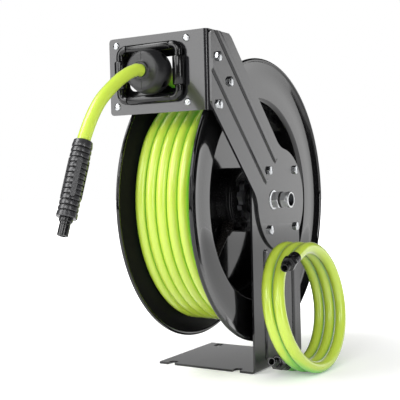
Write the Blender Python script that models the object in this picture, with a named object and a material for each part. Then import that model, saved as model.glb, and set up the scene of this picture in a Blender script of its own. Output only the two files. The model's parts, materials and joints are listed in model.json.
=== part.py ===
"""Retractable air hose reel: a spring-wound drum on a bent steel stand, with a roller guide arm.

Metres, +Z up. X runs along the axle towards the stand's post, -Y towards the hose outlet.
The origin lies on the underside of the base plate, straight below the axle at the drum's middle.
"""

import math

import bmesh
import bpy
import numpy as np
from mathutils import Matrix, Vector

# Clearances
GAP = 0.0003
RUN = 0.0003

# Stock
SHEET = 0.003
HOSE_R = 0.00775

# Hose on the drum
STRANDS = 6
STRAND_GAP = 0.00074
STRAND_PITCH = 2 * HOSE_R + STRAND_GAP
WIND_R = 0.163
STEP_START = math.radians(100)
STEP_ARC = math.radians(55)
POINTS_PER_TURN = 24
CORE_SKIN = 0.0004

# Drum
AXLE_Z = 0.234
RIM_R = 0.197
RIM_BEAD_R = 0.0025
RIM_FLARE = 0.0046
DRUM_SHEET = 0.002
FLANGE_GAP = 0.00065
ANNULUS_X = (STRANDS - 1) / 2 * STRAND_PITCH + HOSE_R + FLANGE_GAP + DRUM_SHEET / 2
RIM_BEAD_X = ANNULUS_X + RIM_FLARE
ANNULUS_IN_R = 0.1445
ANNULUS_OUT_R = 0.178
CUP_R = 0.138
CUP_EDGE_R = 0.0065
CUP_CORNER_R = 0.008
CUP_HOLE_R = 0.0165
DRUM_STEPS = 48

# Stand
POST_GAP = 0.0051
POST_OUT_X = RIM_BEAD_X + RIM_BEAD_R + POST_GAP + SHEET
BASE_LEFT_X = -0.091
STAND_Y0 = -0.057
STAND_Y1 = 0.091
STAND_BEND_R = 0.006
POST_RIBS = ((-0.020, 0.167), (0.069, 0.142))
POST_RIB_FOOT = 0.012
RIB_HALF = 0.005
RIB_HEIGHT = 0.0022
SLOT_X = (-0.071, 0.035)
SLOT_R = 0.0058
SLOT_FRONT_LENGTH = 0.013
SLOT_REAR_Y = 0.078
SLOT_REAR_HALF = 0.003

# Hose guide: the carrier's lower back edge clears the rim
CARRIER_H = 0.095
CARRIER_T = 0.0038
RIM_CLEARANCE = 0.00171
GUIDE_ANGLE = math.radians(37.33)
GUIDE_REACH = RIM_R + RIM_CLEARANCE
CARRIER_BACK_Y = -GUIDE_REACH * math.cos(GUIDE_ANGLE)
GUIDE_Z = AXLE_Z + GUIDE_REACH * math.sin(GUIDE_ANGLE) + CARRIER_H / 2
GUIDE_FRONT_Y = CARRIER_BACK_Y - CARRIER_T - GAP - SHEET

# Guide arm
ARM_END_Y = 0.0275
ARM_END_Z = -0.001
ARM_END_R = 0.073
ARM_HALF = 0.050
ARM_SLOPE = math.radians(44)
ARM_FILLET_R = 0.040
ARM_RISE = 0.0475
ARM_TOP = GUIDE_Z - AXLE_Z + ARM_RISE
ARM_SETBACK = 0.0041
ARM_FRONT_Y = GUIDE_FRONT_Y + ARM_SETBACK
ARM_CORNER_R = 0.006
ARM_RIB_OFFSETS = (-0.0145, 0.0265)
ARM_RIB_START = 0.049
ARM_RIB_MARGIN = 0.0006
ARM_BOLT_SQUARE = 0.0410
ARM_BOLT_Y = 0.0235
HEX_AF = 0.0111
HEX_HEIGHT = 0.0066
BOLT_R = 0.0031
WELD_NUT_AF = 0.0125
WELD_NUT_HEIGHT = 0.005
GUIDE_NUT_HEIGHT = 0.0030

# Hose guide's plate
GUIDE_X = -0.018
GUIDE_LEFT_X = -0.084
GUIDE_BELOW = 0.0507
GUIDE_BOTTOM = GUIDE_Z - GUIDE_BELOW
GUIDE_ABOVE = 0.0490
GUIDE_TOP = GUIDE_Z + GUIDE_ABOVE
GUIDE_CORNER_R = 0.005
GUIDE_FLANGE_LENGTH = 0.0571
GUIDE_FLANGE_Y = GUIDE_FRONT_Y + GUIDE_FLANGE_LENGTH
GUIDE_BEND_R = 0.005
WINDOW_W = 0.106
WINDOW_H = 0.072
WINDOW_R = 0.014
GUIDE_BOLT_OFFSETS = ((0.0147, 0.0152), (0.0428, -0.0135), (0.0147, -0.0437))
GUIDE_BOLTS = tuple((GUIDE_FRONT_Y + y, GUIDE_Z + z) for y, z in GUIDE_BOLT_OFFSETS)
CARRIER_W = 0.124
CARRIER_R = 0.010
CARRIER_OPEN_W = 0.094
CARRIER_OPEN_H = 0.060
CARRIER_OPEN_R = 0.010
LUG_REACH = 0.0119
LUG_FRONT_Y = GUIDE_FRONT_Y - LUG_REACH
CARRIER_SCREW_W = 0.108
CARRIER_SCREW_H = 0.0792
CARRIER_SCREW_R = 0.0021
CARRIER_HEAD_R = 0.0046
CARRIER_HEAD_H = 0.0026
ROLLER_REACH = 0.0049
ROLLER_Y = GUIDE_FRONT_Y - ROLLER_REACH
FLAT_ROLLER_R = 0.0055
FLAT_ROLLER_HALF = 0.0333
FLAT_ROLLER_OFFSET = 0.0326
TALL_ROLLER_R = 0.008
TALL_ROLLER_HALF = 0.0182
TALL_ROLLER_OFFSET = 0.0447
PIN_R = 0.00175
PIN_SEAT = 0.0065

# Axle, hub and inlet
SHAFT_R = 0.010
SHAFT_BACK_X = -0.049
SHAFT_FLANGE_R = 0.019
SHAFT_FLANGE_T = 0.0045
SHAFT_THREAD_R = 0.008
SHAFT_STUB = 0.0208
SHAFT_END_X = POST_OUT_X + SHAFT_STUB
AIR_BORE_R = 0.0045
AIR_BORE_X = 0.012
AIR_PORT_X = 0.0155
AIR_PORT_R = 0.003
BUSH_WALL = 0.0024
HUB_R = 0.046
HUB_FACE_X = 0.0247
NOSE_R = 0.019
NOSE_X = 0.040
HUB_COVER_R = 0.045
HUB_COVER_T = 0.0023
HUB_SCREW_CIRCLE = 0.036
HUB_SCREW_R = 0.002
HUB_SCREW_HEAD_R = 0.0037
HUB_SCREW_HEAD_H = 0.0024
HUB_SCREW_DEPTH = 0.010
HUB_SCREW_ANGLES = tuple(math.radians(a) for a in (21, 141, 261))
RATCHET_R = 0.031
RATCHET_ROOT_R = 0.0262
RATCHET_T = 0.007
RATCHET_TEETH = 10
RATCHET_PHASE = math.radians(13.5)
PIPE_ANGLE = math.radians(225)
PIPE_R = 0.006
PIPE_BORE_R = 0.0035
PIPE_NUT_AF = 0.016
PIPE_NUT_LENGTH = 0.010
NUT_AF = 0.0218
NUT_T = 0.010
NUT_WASHER_R = 0.0135
NUT_WASHER_T = 0.0015
SEAL_R = 0.0112
SEAL_T = 0.0027
SWIVEL_AF = 0.0205
SWIVEL_HEX_LENGTH = 0.0085
SWIVEL_COLLAR_R = 0.0112
SWIVEL_COLLAR_LENGTH = 0.004
INLET_BORE_R = 0.0084
INLET_DEPTH = 0.009

# Spring side
CASE_R = 0.086
CASE_WALL = 0.002
CASE_DEPTH = 0.0355
COVER_T = 0.002
COVER_BOSS_R = 0.017
COVER_BOSS_X = -0.044
SPRING_T = 0.0012
SPRING_IN_R = 0.0125
SPRING_TURNS = 6
SPRING_POINTS = 12
SPRING_SIDE_GAP = 0.0015
RETAINER_T = 0.0015
RETAINER_R = 0.014
RETAINER_GROOVE_R = 0.0092

# Pawl
PAWL_PIVOT_R = 0.046
PAWL_PIVOT_ANGLE = math.radians(10)
PAWL_NOSE_ANGLE = math.radians(48)
PAWL_NOSE_CLEAR = 0.0012
PAWL_X0 = 0.0306
PAWL_T = 0.0038
PAWL_BOSS_R = 0.006
PAWL_PIN_R = 0.0025
PAWL_PIN_HEAD_R = 0.004
PAWL_PIN_HEAD_T = 0.0014
PAWL_PIN_BASE_R = 0.0065
PAWL_PIN_BASE_T = 0.002
PAWL_SPRING_R = 0.0037
PAWL_WIRE_R = 0.0006
PAWL_SPRING_TURNS = 5

# Ball stop, outlet hose and grip
OUTLET_X = -0.010
OUTLET_Z = GUIDE_Z
BALL_REACH = 0.0159
BALL_Y = GUIDE_FRONT_Y - BALL_REACH
BALL_R = 0.0285
BALL_FACE = 0.018
BALL_FACE_R = 0.0245
BALL_TAIL = 0.024
COLLAR_R = 0.011
COLLAR_OUT = 0.0025
BALL_SCREW_OFFSET = 0.0165
BALL_SCREW_R = 0.002
BALL_SCREW_HEAD_R = 0.0036
BALL_SCREW_X0 = -0.024
BALL_SCREW_X1 = 0.004
FEED_BEND_Y0 = -0.060
FEED_BEND_Y1 = BALL_Y + BALL_TAIL
OUTLET_DROPS = ((0.0458, 0.0063), (0.0668, 0.0172), (0.0948, 0.0370), (0.1101, 0.0525), (0.1223, 0.0695))
OUTLET_ROUTE = tuple((BALL_Y - out, OUTLET_Z - down) for out, down in OUTLET_DROPS)
GRIP_TOP_DROP = (0.1332, 0.0895)
GRIP_FOOT_DROP = (0.1662, 0.1740)
GRIP_TOP = (BALL_Y - GRIP_TOP_DROP[0], OUTLET_Z - GRIP_TOP_DROP[1])
GRIP_FOOT = (BALL_Y - GRIP_FOOT_DROP[0], OUTLET_Z - GRIP_FOOT_DROP[1])
GRIP_R = 0.0115
GRIP_SOCKET = 0.020
GRIP_BORE_R = 0.0052
FITTING_R = 0.0062
FITTING_COLLAR_R = 0.0078
FITTING_COLLAR = 0.0045
FITTING_LENGTH = 0.0205
FITTING_TANG = 0.012
FITTING_BORE_R = 0.0035

# Lead-in hose
LEAD_OFFSET = 0.0708
LEAD_X = POST_OUT_X + LEAD_OFFSET
LEAD_Y = -0.0045
LEAD_R = 0.0813
LEAD_LEAN = math.radians(9.2)
LEAD_YAW = math.radians(1.9)
LEAD_PITCH = 0.0163
LEAD_START = math.radians(-20)
LEAD_REFERENCE = math.radians(-40)
LEAD_END = math.radians(893)
LEAD_FLOOR = 0.0080
LEAD_STRAIGHT = 0.0155
LEAD_FITTING_R = 0.0082
LEAD_FITTING_AF = 0.0175
LEAD_FITTING_TIP_R = 0.0058
LEAD_FITTING_LENGTH = 0.0405
LEAD_FITTING_BORE_R = 0.0042
LEAD_TOP_DIRECTION = (0.072, -0.967, -0.244)
LEAD_FOOT_ROUTE = ((0.1063, -0.003, 0.0081), (0.1046, -0.012, 0.0080), (0.1022, -0.021, 0.0090), (0.1011, -0.034, 0.0128))

HEX = True
STAND_YAW = (math.radians(90), 0.0, math.radians(90))
FACE_FRONT = (math.radians(90), 0.0, 0.0)
UPRIGHT = (0.0, 0.0, 0.0)
ALONG_X = (0.0, math.radians(90), 0.0)


def clear_scene():
    """Remove every object, so that the file starts empty."""
    for obj in list(bpy.data.objects):
        bpy.data.objects.remove(obj, do_unlink=True)


def material(name, colour, roughness, metallic=0.0):
    """A Principled material with one plain colour."""
    mat = bpy.data.materials.new(name)
    mat.use_nodes = True
    shader = mat.node_tree.nodes["Principled BSDF"]
    shader.inputs["Base Color"].default_value = (*colour, 1.0)
    shader.inputs["Roughness"].default_value = roughness
    shader.inputs["Metallic"].default_value = metallic
    mat.diffuse_color = (*colour, 1.0)
    return mat


def add_object(name, data, mat, location=(0, 0, 0), rotation=UPRIGHT, parent=None):
    """Link an object that carries one material, and shade its round sides smooth."""
    obj = bpy.data.objects.new(name, data)
    bpy.context.scene.collection.objects.link(obj)
    if parent is None:
        obj.location = location
        obj.rotation_euler = rotation
    else:
        obj.parent = parent
        obj.location = Vector(location) - parent.location
        obj.rotation_euler = rotation
    data.materials.append(mat)
    if obj.type == "MESH":
        data.shade_smooth()
        data.set_sharp_from_angle(angle=math.radians(32))
    return obj


def mesh_from(name, bm):
    """Turn a bmesh into a mesh whose faces point out."""
    bmesh.ops.recalc_face_normals(bm, faces=bm.faces)
    mesh = bpy.data.meshes.new(name)
    bm.to_mesh(mesh)
    bm.free()
    return mesh


def hex_radius(flat_radius, angle):
    """Radius of a hexagon at an angle from one of its flats' middles."""
    sixth = math.radians(60)
    off = (angle + sixth / 2) % sixth - sixth / 2
    return flat_radius / math.cos(off)


def turned_mesh(name, profile, steps, sweep=2 * math.pi):
    """Turn a closed outline of (height, radius[, HEX]) points about local Z."""
    bm = bmesh.new()
    full = abs(sweep - 2 * math.pi) < 1e-6
    count = steps if full else steps + 1
    rings = []
    for point in profile:
        height, radius = point[0], point[1]
        hexed = len(point) > 2
        if radius < 1e-7:
            rings.append([bm.verts.new((0, 0, height))] * count)
            continue
        ring = []
        for i in range(count):
            angle = sweep * i / steps
            r = hex_radius(radius, angle) if hexed else radius
            ring.append(bm.verts.new((r * math.cos(angle), r * math.sin(angle), height)))
        rings.append(ring)
    for j, ring in enumerate(rings):
        following = rings[(j + 1) % len(rings)]
        for i in range(steps):
            k = (i + 1) % count
            corners = [ring[i], ring[k], following[k], following[i]]
            loop = []
            for vert in corners:
                if vert not in loop:
                    loop.append(vert)
            if len(loop) > 2:
                bm.faces.new(loop)
    if not full:
        bm.faces.new([ring[0] for ring in rings])
        bm.faces.new([ring[-1] for ring in rings])
    return mesh_from(name, bm)


def turned(name, profile, mat, steps=24, location=(0, 0, 0), rotation=STAND_YAW, sweep=2 * math.pi, parent=None):
    """A turned piece. With the default rotation its local Z lies along world X."""
    return add_object(name, turned_mesh(name, profile, steps, sweep), mat, location, rotation, parent)


def tube_profile(start, end, outer, inner):
    """Outline of a plain ring from one height to another."""
    return [(start, inner), (start, outer), (end, outer), (end, inner)]


def arc(centre, radius, start, end, count):
    """Points on an arc in a plane, both ends included. Angles are in radians."""
    return [
        (centre[0] + radius * math.cos(a), centre[1] + radius * math.sin(a))
        for a in np.linspace(start, end, count)
    ]


def rounded_rectangle(centre, width, height, radius, count=5):
    """A rectangle's outline with round corners, anticlockwise."""
    cx, cy = centre
    dx, dy = width / 2 - radius, height / 2 - radius
    quarter = math.pi / 2
    points = []
    for i, (sx, sy) in enumerate(((1, 1), (-1, 1), (-1, -1), (1, -1))):
        corner = (cx + sx * dx, cy + sy * dy)
        points += arc(corner, radius, i * quarter, (i + 1) * quarter, count)
    return points


def circle(centre, radius, count=12):
    """A circle's outline."""
    return arc(centre, radius, 0, 2 * math.pi * (1 - 1 / count), count)


def plate_mesh(name, outline, holes, thickness):
    """Extrude an outline with holes from local z = 0 to its thickness."""
    bm = bmesh.new()
    edges = []
    for loop in [outline, *holes]:
        verts = [bm.verts.new((x, y, 0)) for x, y in loop]
        edges += [bm.edges.new((verts[i - 1], verts[i])) for i in range(len(verts))]
    bmesh.ops.triangle_fill(bm, use_beauty=True, use_dissolve=False, edges=edges)
    face = bmesh.ops.extrude_face_region(bm, geom=bm.faces[:])
    moved = [item for item in face["geom"] if isinstance(item, bmesh.types.BMVert)]
    bmesh.ops.translate(bm, verts=moved, vec=(0, 0, thickness))
    return mesh_from(name, bm)


def plate(name, outline, holes, thickness, mat, location=(0, 0, 0), rotation=STAND_YAW, parent=None):
    """A flat piece cut from sheet."""
    return add_object(name, plate_mesh(name, outline, holes, thickness), mat, location, rotation, parent)


def tool(name, mesh, location=(0, 0, 0), rotation=UPRIGHT):
    """A hidden body that a Boolean modifier uses."""
    obj = bpy.data.objects.new(name, mesh)
    bpy.context.scene.collection.objects.link(obj)
    obj.location = location
    obj.rotation_euler = rotation
    obj.hide_render = True
    obj.display_type = "WIRE"
    return obj


def rod_tool(name, radius, length, location, rotation, steps=12):
    """A round cutter from its location along its local Z."""
    return tool(name, turned_mesh(name, [(0, 0), (0, radius), (length, radius), (length, 0)], steps), location, rotation)


def combine(obj, other, operation):
    """Add an exact Boolean modifier."""
    modifier = obj.modifiers.new(f"{operation.lower()}_{other.name}"[:60], "BOOLEAN")
    modifier.operation = operation
    modifier.solver = "EXACT"
    modifier.object = other


def cut(obj, other):
    """Cut one body from another."""
    combine(obj, other, "DIFFERENCE")


def join(obj, other):
    """Fuse a second body to the first."""
    combine(obj, other, "UNION")


def tube(name, points, radius, mat, sides_level, location=(0, 0, 0), parent=None):
    """A round tube with filled ends along a chain of points, given about the location."""
    curve = bpy.data.curves.new(name, "CURVE")
    curve.dimensions = "3D"
    curve.bevel_depth = radius
    curve.bevel_resolution = sides_level
    curve.use_fill_caps = True
    curve.resolution_u = 1
    curve.render_resolution_u = 0
    spline = curve.splines.new("POLY")
    spline.points.add(len(points) - 1)
    for item, point in zip(spline.points, points):
        item.co = (*(Vector(point) - Vector(location)), 1.0)
    return add_object(name, curve, mat, location, UPRIGHT, parent)


def smooth_route(points, spacing):
    """Read evenly spaced points from a Catmull-Rom curve through a route."""
    padded = [2 * np.array(points[0]) - np.array(points[1]), *map(np.array, points)]
    padded.append(2 * np.array(points[-1]) - np.array(points[-2]))
    fine = []
    for a, b, c, d in zip(padded, padded[1:], padded[2:], padded[3:]):
        for t in np.linspace(0, 1, 40, endpoint=False):
            fine.append(0.5 * (2 * b + (c - a) * t + (2 * a - 5 * b + 4 * c - d) * t**2
                               + (3 * b - a - 3 * c + d) * t**3))
    fine.append(padded[-2])
    fine = np.array(fine)
    along = np.concatenate([[0], np.cumsum(np.linalg.norm(np.diff(fine, axis=0), axis=1))])
    count = max(2, round(along[-1] / spacing) + 1)
    return [tuple(np.interp(s, along, fine[:, k]) for k in range(3)) for s in np.linspace(0, along[-1], count)]


def least_gap(points, radius, skip):
    """Least space between stretches of one tube that are more than a few points apart."""
    chain = np.array(points)
    least = 1.0
    for i, start in enumerate(chain[:-1]):
        later = chain[i + skip:]
        if len(later) < 2:
            break
        for s in np.linspace(0, 1, 5):
            here = start + s * (chain[i + 1] - start)
            first, second = later[:-1], later[1:]
            run = second - first
            t = np.clip(((here - first) * run).sum(1) / (run * run).sum(1), 0, 1)
            nearest = first + run * t[:, None]
            least = min(least, np.linalg.norm(nearest - here, axis=1).min())
    return least - 2 * radius


def polar(radius, angle):
    """Y and Z offsets from the axle at an angle from +Y towards +Z."""
    return radius * math.cos(angle), radius * math.sin(angle)


def aim(direction):
    """Rotation that turns local Z to a direction."""
    return Vector(direction).to_track_quat("Z", "Y").to_euler()


def sheet_profile(middle, thickness, bead=None):
    """Thicken a chain of (x, radius) points into a closed outline, with an optional round bead at its end."""
    chain = [Vector(p) for p in middle]
    sides = ([], [])
    for i, point in enumerate(chain):
        before = (point - chain[i - 1]).normalized() if i else None
        after = (chain[i + 1] - point).normalized() if i + 1 < len(chain) else None
        before = before or after
        after = after or before
        direction = (before + after).normalized()
        normal = Vector((-direction.y, direction.x))
        reach = thickness / 2 / max(0.5, direction.dot(before))
        sides[0].append(tuple(point + normal * reach))
        sides[1].append(tuple(point - normal * reach))
    end = []
    if bead:
        last = chain[-1]
        direction = (last - chain[-2]).normalized()
        centre = last + direction * bead
        facing = math.atan2(direction.y, direction.x)
        end = arc(centre, bead, facing + math.radians(130), facing - math.radians(130), 5)
    return sides[0] + end + sides[1][::-1]


clear_scene()

FRAME_PAINT = material("frame_paint", (0.045, 0.046, 0.048), 0.25, 0.3)
DRUM_PAINT = material("drum_paint", (0.02, 0.02, 0.021), 0.18, 0.3)
ZINC = material("zinc", (0.62, 0.63, 0.64), 0.3, 1.0)
STEEL = material("steel", (0.42, 0.43, 0.44), 0.35, 1.0)
SPRING_STEEL = material("spring_steel", (0.16, 0.18, 0.24), 0.35, 1.0)
BRONZE = material("bronze", (0.42, 0.28, 0.12), 0.4, 1.0)
BLACK_PLASTIC = material("black_plastic", (0.02, 0.02, 0.02), 0.45)
RUBBER = material("rubber", (0.07, 0.07, 0.075), 0.7)
HOSE = material("hose", (0.56, 0.72, 0.08), 0.45)
BLACK_METAL = material("black_metal", (0.03, 0.03, 0.032), 0.35, 0.8)

# Derived places
POST_IN_X = POST_OUT_X - SHEET
ARM_IN_X = POST_OUT_X + GAP
ARM_OUT_X = ARM_IN_X + SHEET
CUP_FLOOR_X = GAP / 2 + DRUM_SHEET / 2
CUP_FLOOR_FACE = CUP_FLOOR_X + DRUM_SHEET / 2
CUP_WALL_OUT = CUP_R + DRUM_SHEET / 2
BORE_R = SHAFT_R + RUN + BUSH_WALL + GAP
AXIS = (0.0, 0.0, AXLE_Z)


def axle_parent(name, location=AXIS):
    """An empty on a joint's axis, which carries the pieces of a moving body."""
    empty = bpy.data.objects.new(name, None)
    bpy.context.scene.collection.objects.link(empty)
    empty.location = location
    return empty


def eased_corner(before, corner, after, reach, count=4):
    """Round one corner of an outline with a short curve."""
    before, corner, after = Vector(before), Vector(corner), Vector(after)
    start = corner + (before - corner).normalized() * reach
    end = corner + (after - corner).normalized() * reach
    points = []
    for t in np.linspace(0, 1, count):
        points.append(tuple(start * (1 - t) ** 2 + corner * 2 * t * (1 - t) + end * t ** 2))
    return points


def arm_axes():
    """The middle of the arm's round end, the direction along the arm and the one across it, as (y, height)."""
    centre = Vector((ARM_END_Y, ARM_END_Z))
    along = Vector((-math.sin(ARM_SLOPE), math.cos(ARM_SLOPE)))
    across = Vector((math.cos(ARM_SLOPE), math.sin(ARM_SLOPE)))
    return centre, along, across


def arm_loop():
    """The guide arm's outline in (y, height above the axle), anticlockwise from its upper edge."""
    centre, along, across = arm_axes()
    reach = math.sqrt((ARM_END_R + ARM_FILLET_R) ** 2 - (ARM_HALF + ARM_FILLET_R) ** 2)
    touch = math.atan2(ARM_HALF + ARM_FILLET_R, reach)
    lean = math.atan2(along.y, along.x)
    upper_fillet = centre + along * reach + across * (ARM_HALF + ARM_FILLET_R)
    lower_fillet = centre + along * reach - across * (ARM_HALF + ARM_FILLET_R)
    upper_edge = centre + across * ARM_HALF
    lower_edge = centre - across * ARM_HALF
    top = upper_edge + along * ((ARM_TOP - upper_edge.y) / along.y)
    front_top = Vector((ARM_FRONT_Y, ARM_TOP))
    front_low = lower_edge + along * ((ARM_FRONT_Y - lower_edge.x) / along.x)
    loop = eased_corner(upper_edge, top, front_top, ARM_CORNER_R)
    loop += eased_corner(top, front_top, front_low, ARM_CORNER_R)
    loop += eased_corner(front_top, front_low, lower_edge, ARM_CORNER_R)
    loop += arc(lower_fillet, ARM_FILLET_R, lean - math.pi / 2, lean + touch - math.pi, 7)
    loop += arc(centre, ARM_END_R, lean + touch, lean - touch + 2 * math.pi, 32)[1:-1]
    loop += arc(upper_fillet, ARM_FILLET_R, lean - touch + math.pi, lean + math.pi / 2, 7)
    return loop


def ridge_mesh(name, length, half, height):
    """A pressed ridge along local +Y, standing on local z = 0, sunk a little below it."""
    sink = SHEET / 2
    profile = [(-half, -sink), (half, -sink), (half, 0), (half * 0.45, height), (-half * 0.45, height), (-half, 0)]
    bm = bmesh.new()
    face = bm.faces.new([bm.verts.new((x, 0, z)) for x, z in profile])
    grown = bmesh.ops.extrude_face_region(bm, geom=[face])
    moved = [item for item in grown["geom"] if isinstance(item, bmesh.types.BMVert)]
    bmesh.ops.translate(bm, verts=moved, vec=(0, length, 0))
    return mesh_from(name, bm)


def hex_bolt(name, location, rotation, shank, mat=ZINC):
    """A hexagon-head bolt. Its head stands out along local Z from the location, its shank lies behind."""
    profile = [
        (-shank, 0), (-shank, BOLT_R), (GAP, BOLT_R), (GAP, HEX_AF / 2, HEX),
        (GAP + HEX_HEIGHT - 0.0006, HEX_AF / 2, HEX), (GAP + HEX_HEIGHT, HEX_AF / 2 - 0.0004), (GAP + HEX_HEIGHT, 0),
    ]
    return turned(name, profile, mat, 12, location, rotation)


def pan_screw(name, location, rotation, radius, head_r, head_h, shank, mat=ZINC, parent=None):
    """A pan-head screw. Its head stands out along local Z from the location."""
    profile = [
        (-shank, 0), (-shank, radius), (GAP, radius), (GAP, head_r),
        (GAP + head_h * 0.55, head_r), (GAP + head_h, head_r * 0.55),
        (GAP + head_h, 0),
    ]
    return turned(name, profile, mat, 10, location, rotation, parent=parent)


def build_stand():
    """The base plate and post, one bent sheet, with its slots, bolt holes, ribs and weld nuts."""
    r_out = STAND_BEND_R
    r_in = STAND_BEND_R - SHEET
    corner = (POST_OUT_X - r_out, r_out)
    outline = [(BASE_LEFT_X, 0.0)]
    outline += arc(corner, r_out, -math.pi / 2, 0, 6)
    outline += [(POST_OUT_X, AXLE_Z + ARM_END_R), (POST_IN_X, AXLE_Z + ARM_END_R)]
    outline += arc(corner, r_in, 0, -math.pi / 2, 6)
    outline += [(BASE_LEFT_X, SHEET)]
    # The L-shaped outline stands in the XZ plane and is pushed back along Y
    stand = plate("stand", outline, [], STAND_Y1 - STAND_Y0, FRAME_PAINT, (0, STAND_Y1, 0), FACE_FRONT)

    middle = (STAND_Y0 + STAND_Y1) / 2
    half = (STAND_Y1 - STAND_Y0) / 2
    big = 2 * (AXLE_Z + ARM_END_R)
    keep = arc((middle, AXLE_Z), half, 0, math.pi, 24)
    keep = [(STAND_Y0, -0.01), (STAND_Y1, -0.01)] + keep
    keeper = tool("post_top_shape", plate_mesh("post_top_shape", keep, [], big), (-big / 2, 0, 0), STAND_YAW)
    combine(stand, keeper, "INTERSECT")

    depth = SHEET * 3
    for i, x in enumerate(SLOT_X):
        front = [(x - SLOT_R, STAND_Y0 - 0.01), (x + SLOT_R, STAND_Y0 - 0.01)]
        front += arc((x, STAND_Y0 + SLOT_FRONT_LENGTH - SLOT_R), SLOT_R, 0, math.pi, 9)
        cut(stand, tool(f"front_slot_{i}", plate_mesh("front_slot", front, [], depth), (0, 0, -SHEET)))
        rear = arc((x, SLOT_REAR_Y + SLOT_REAR_HALF), SLOT_R, 0, math.pi, 7)
        rear += arc((x, SLOT_REAR_Y - SLOT_REAR_HALF), SLOT_R, math.pi, 2 * math.pi, 7)
        cut(stand, tool(f"rear_slot_{i}", plate_mesh("rear_slot", rear, [], depth), (0, 0, -SHEET)))

    for i, (y, top) in enumerate(POST_RIBS):
        length = top - POST_RIB_FOOT
        ridge = tool(f"post_ridge_{i}", ridge_mesh("post_ridge", length, RIB_HALF, RIB_HEIGHT),
                     (POST_OUT_X, y, POST_RIB_FOOT), STAND_YAW)
        join(stand, ridge)

    for i, (y, z) in enumerate(arm_bolt_places()):
        weld = [(0, 0), (0, WELD_NUT_AF / 2, HEX), (WELD_NUT_HEIGHT + SHEET / 2, WELD_NUT_AF / 2, HEX),
                (WELD_NUT_HEIGHT + SHEET / 2, 0)]
        place = (POST_IN_X - WELD_NUT_HEIGHT, y, z)
        join(stand, tool(f"post_weld_nut_{i}", turned_mesh("weld_nut", weld, 12), place, STAND_YAW))
        cut(stand, rod_tool(f"post_bolt_hole_{i}", BOLT_R + GAP, 0.03, (POST_IN_X - 0.015, y, z), STAND_YAW))
    cut(stand, rod_tool("post_axle_hole", SHAFT_THREAD_R + GAP, 0.02, (POST_IN_X - 0.008, 0, AXLE_Z), STAND_YAW, 24))
    return stand


def arm_bolt_places():
    """The square of bolts that holds the arm to the post, as (y, z)."""
    square = ARM_BOLT_SQUARE
    return [(ARM_BOLT_Y + sy * square, AXLE_Z + sz * square) for sy, sz in ((-1, 1), (1, 1), (-1, -1), (1, -1))]


def build_arm():
    """The guide arm, with two pressed ridges, bolted outside the post and the guide bracket."""
    outline = arm_loop()
    centre, back, across = arm_axes()
    holes = [circle((y, z - AXLE_Z), BOLT_R + GAP) for y, z in arm_bolt_places()]
    holes += [circle((y, z - AXLE_Z), BOLT_R + GAP) for y, z in GUIDE_BOLTS]
    holes.append(circle((0, 0), SHAFT_THREAD_R + GAP, 24))
    arm = plate("guide_arm", outline, holes, SHEET, FRAME_PAINT, (ARM_IN_X, 0, AXLE_Z))
    front, top = ARM_FRONT_Y + ARM_RIB_MARGIN, ARM_TOP - ARM_RIB_MARGIN
    limits = plate_mesh("ridge_limits", [(front, -top), (top, -top), (top, top), (front, top)], [], SHEET * 4)
    for i, offset in enumerate(ARM_RIB_OFFSETS):
        start = centre + across * offset + back * ARM_RIB_START
        mesh = ridge_mesh("arm_ridge", 2 * ARM_TOP, RIB_HALF, RIB_HEIGHT)
        mesh.transform(Matrix.Rotation(ARM_SLOPE, 4, "Z"))
        ridge = tool(f"arm_ridge_{i}", mesh, (ARM_OUT_X, start.x, AXLE_Z + start.y), STAND_YAW)
        combine(ridge, tool(f"ridge_limits_{i}", limits, (ARM_IN_X - SHEET, 0, AXLE_Z), STAND_YAW), "INTERSECT")
        join(arm, ridge)
    for i, (y, z) in enumerate(arm_bolt_places()):
        hex_bolt(f"arm_bolt_{i + 1}", (ARM_OUT_X, y, z), STAND_YAW, ARM_OUT_X - POST_IN_X + WELD_NUT_HEIGHT)
    for i, (y, z) in enumerate(GUIDE_BOLTS):
        hex_bolt(f"guide_bolt_{i + 1}", (ARM_OUT_X, y, z), STAND_YAW, ARM_OUT_X - POST_IN_X + GUIDE_NUT_HEIGHT)
    return arm


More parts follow.
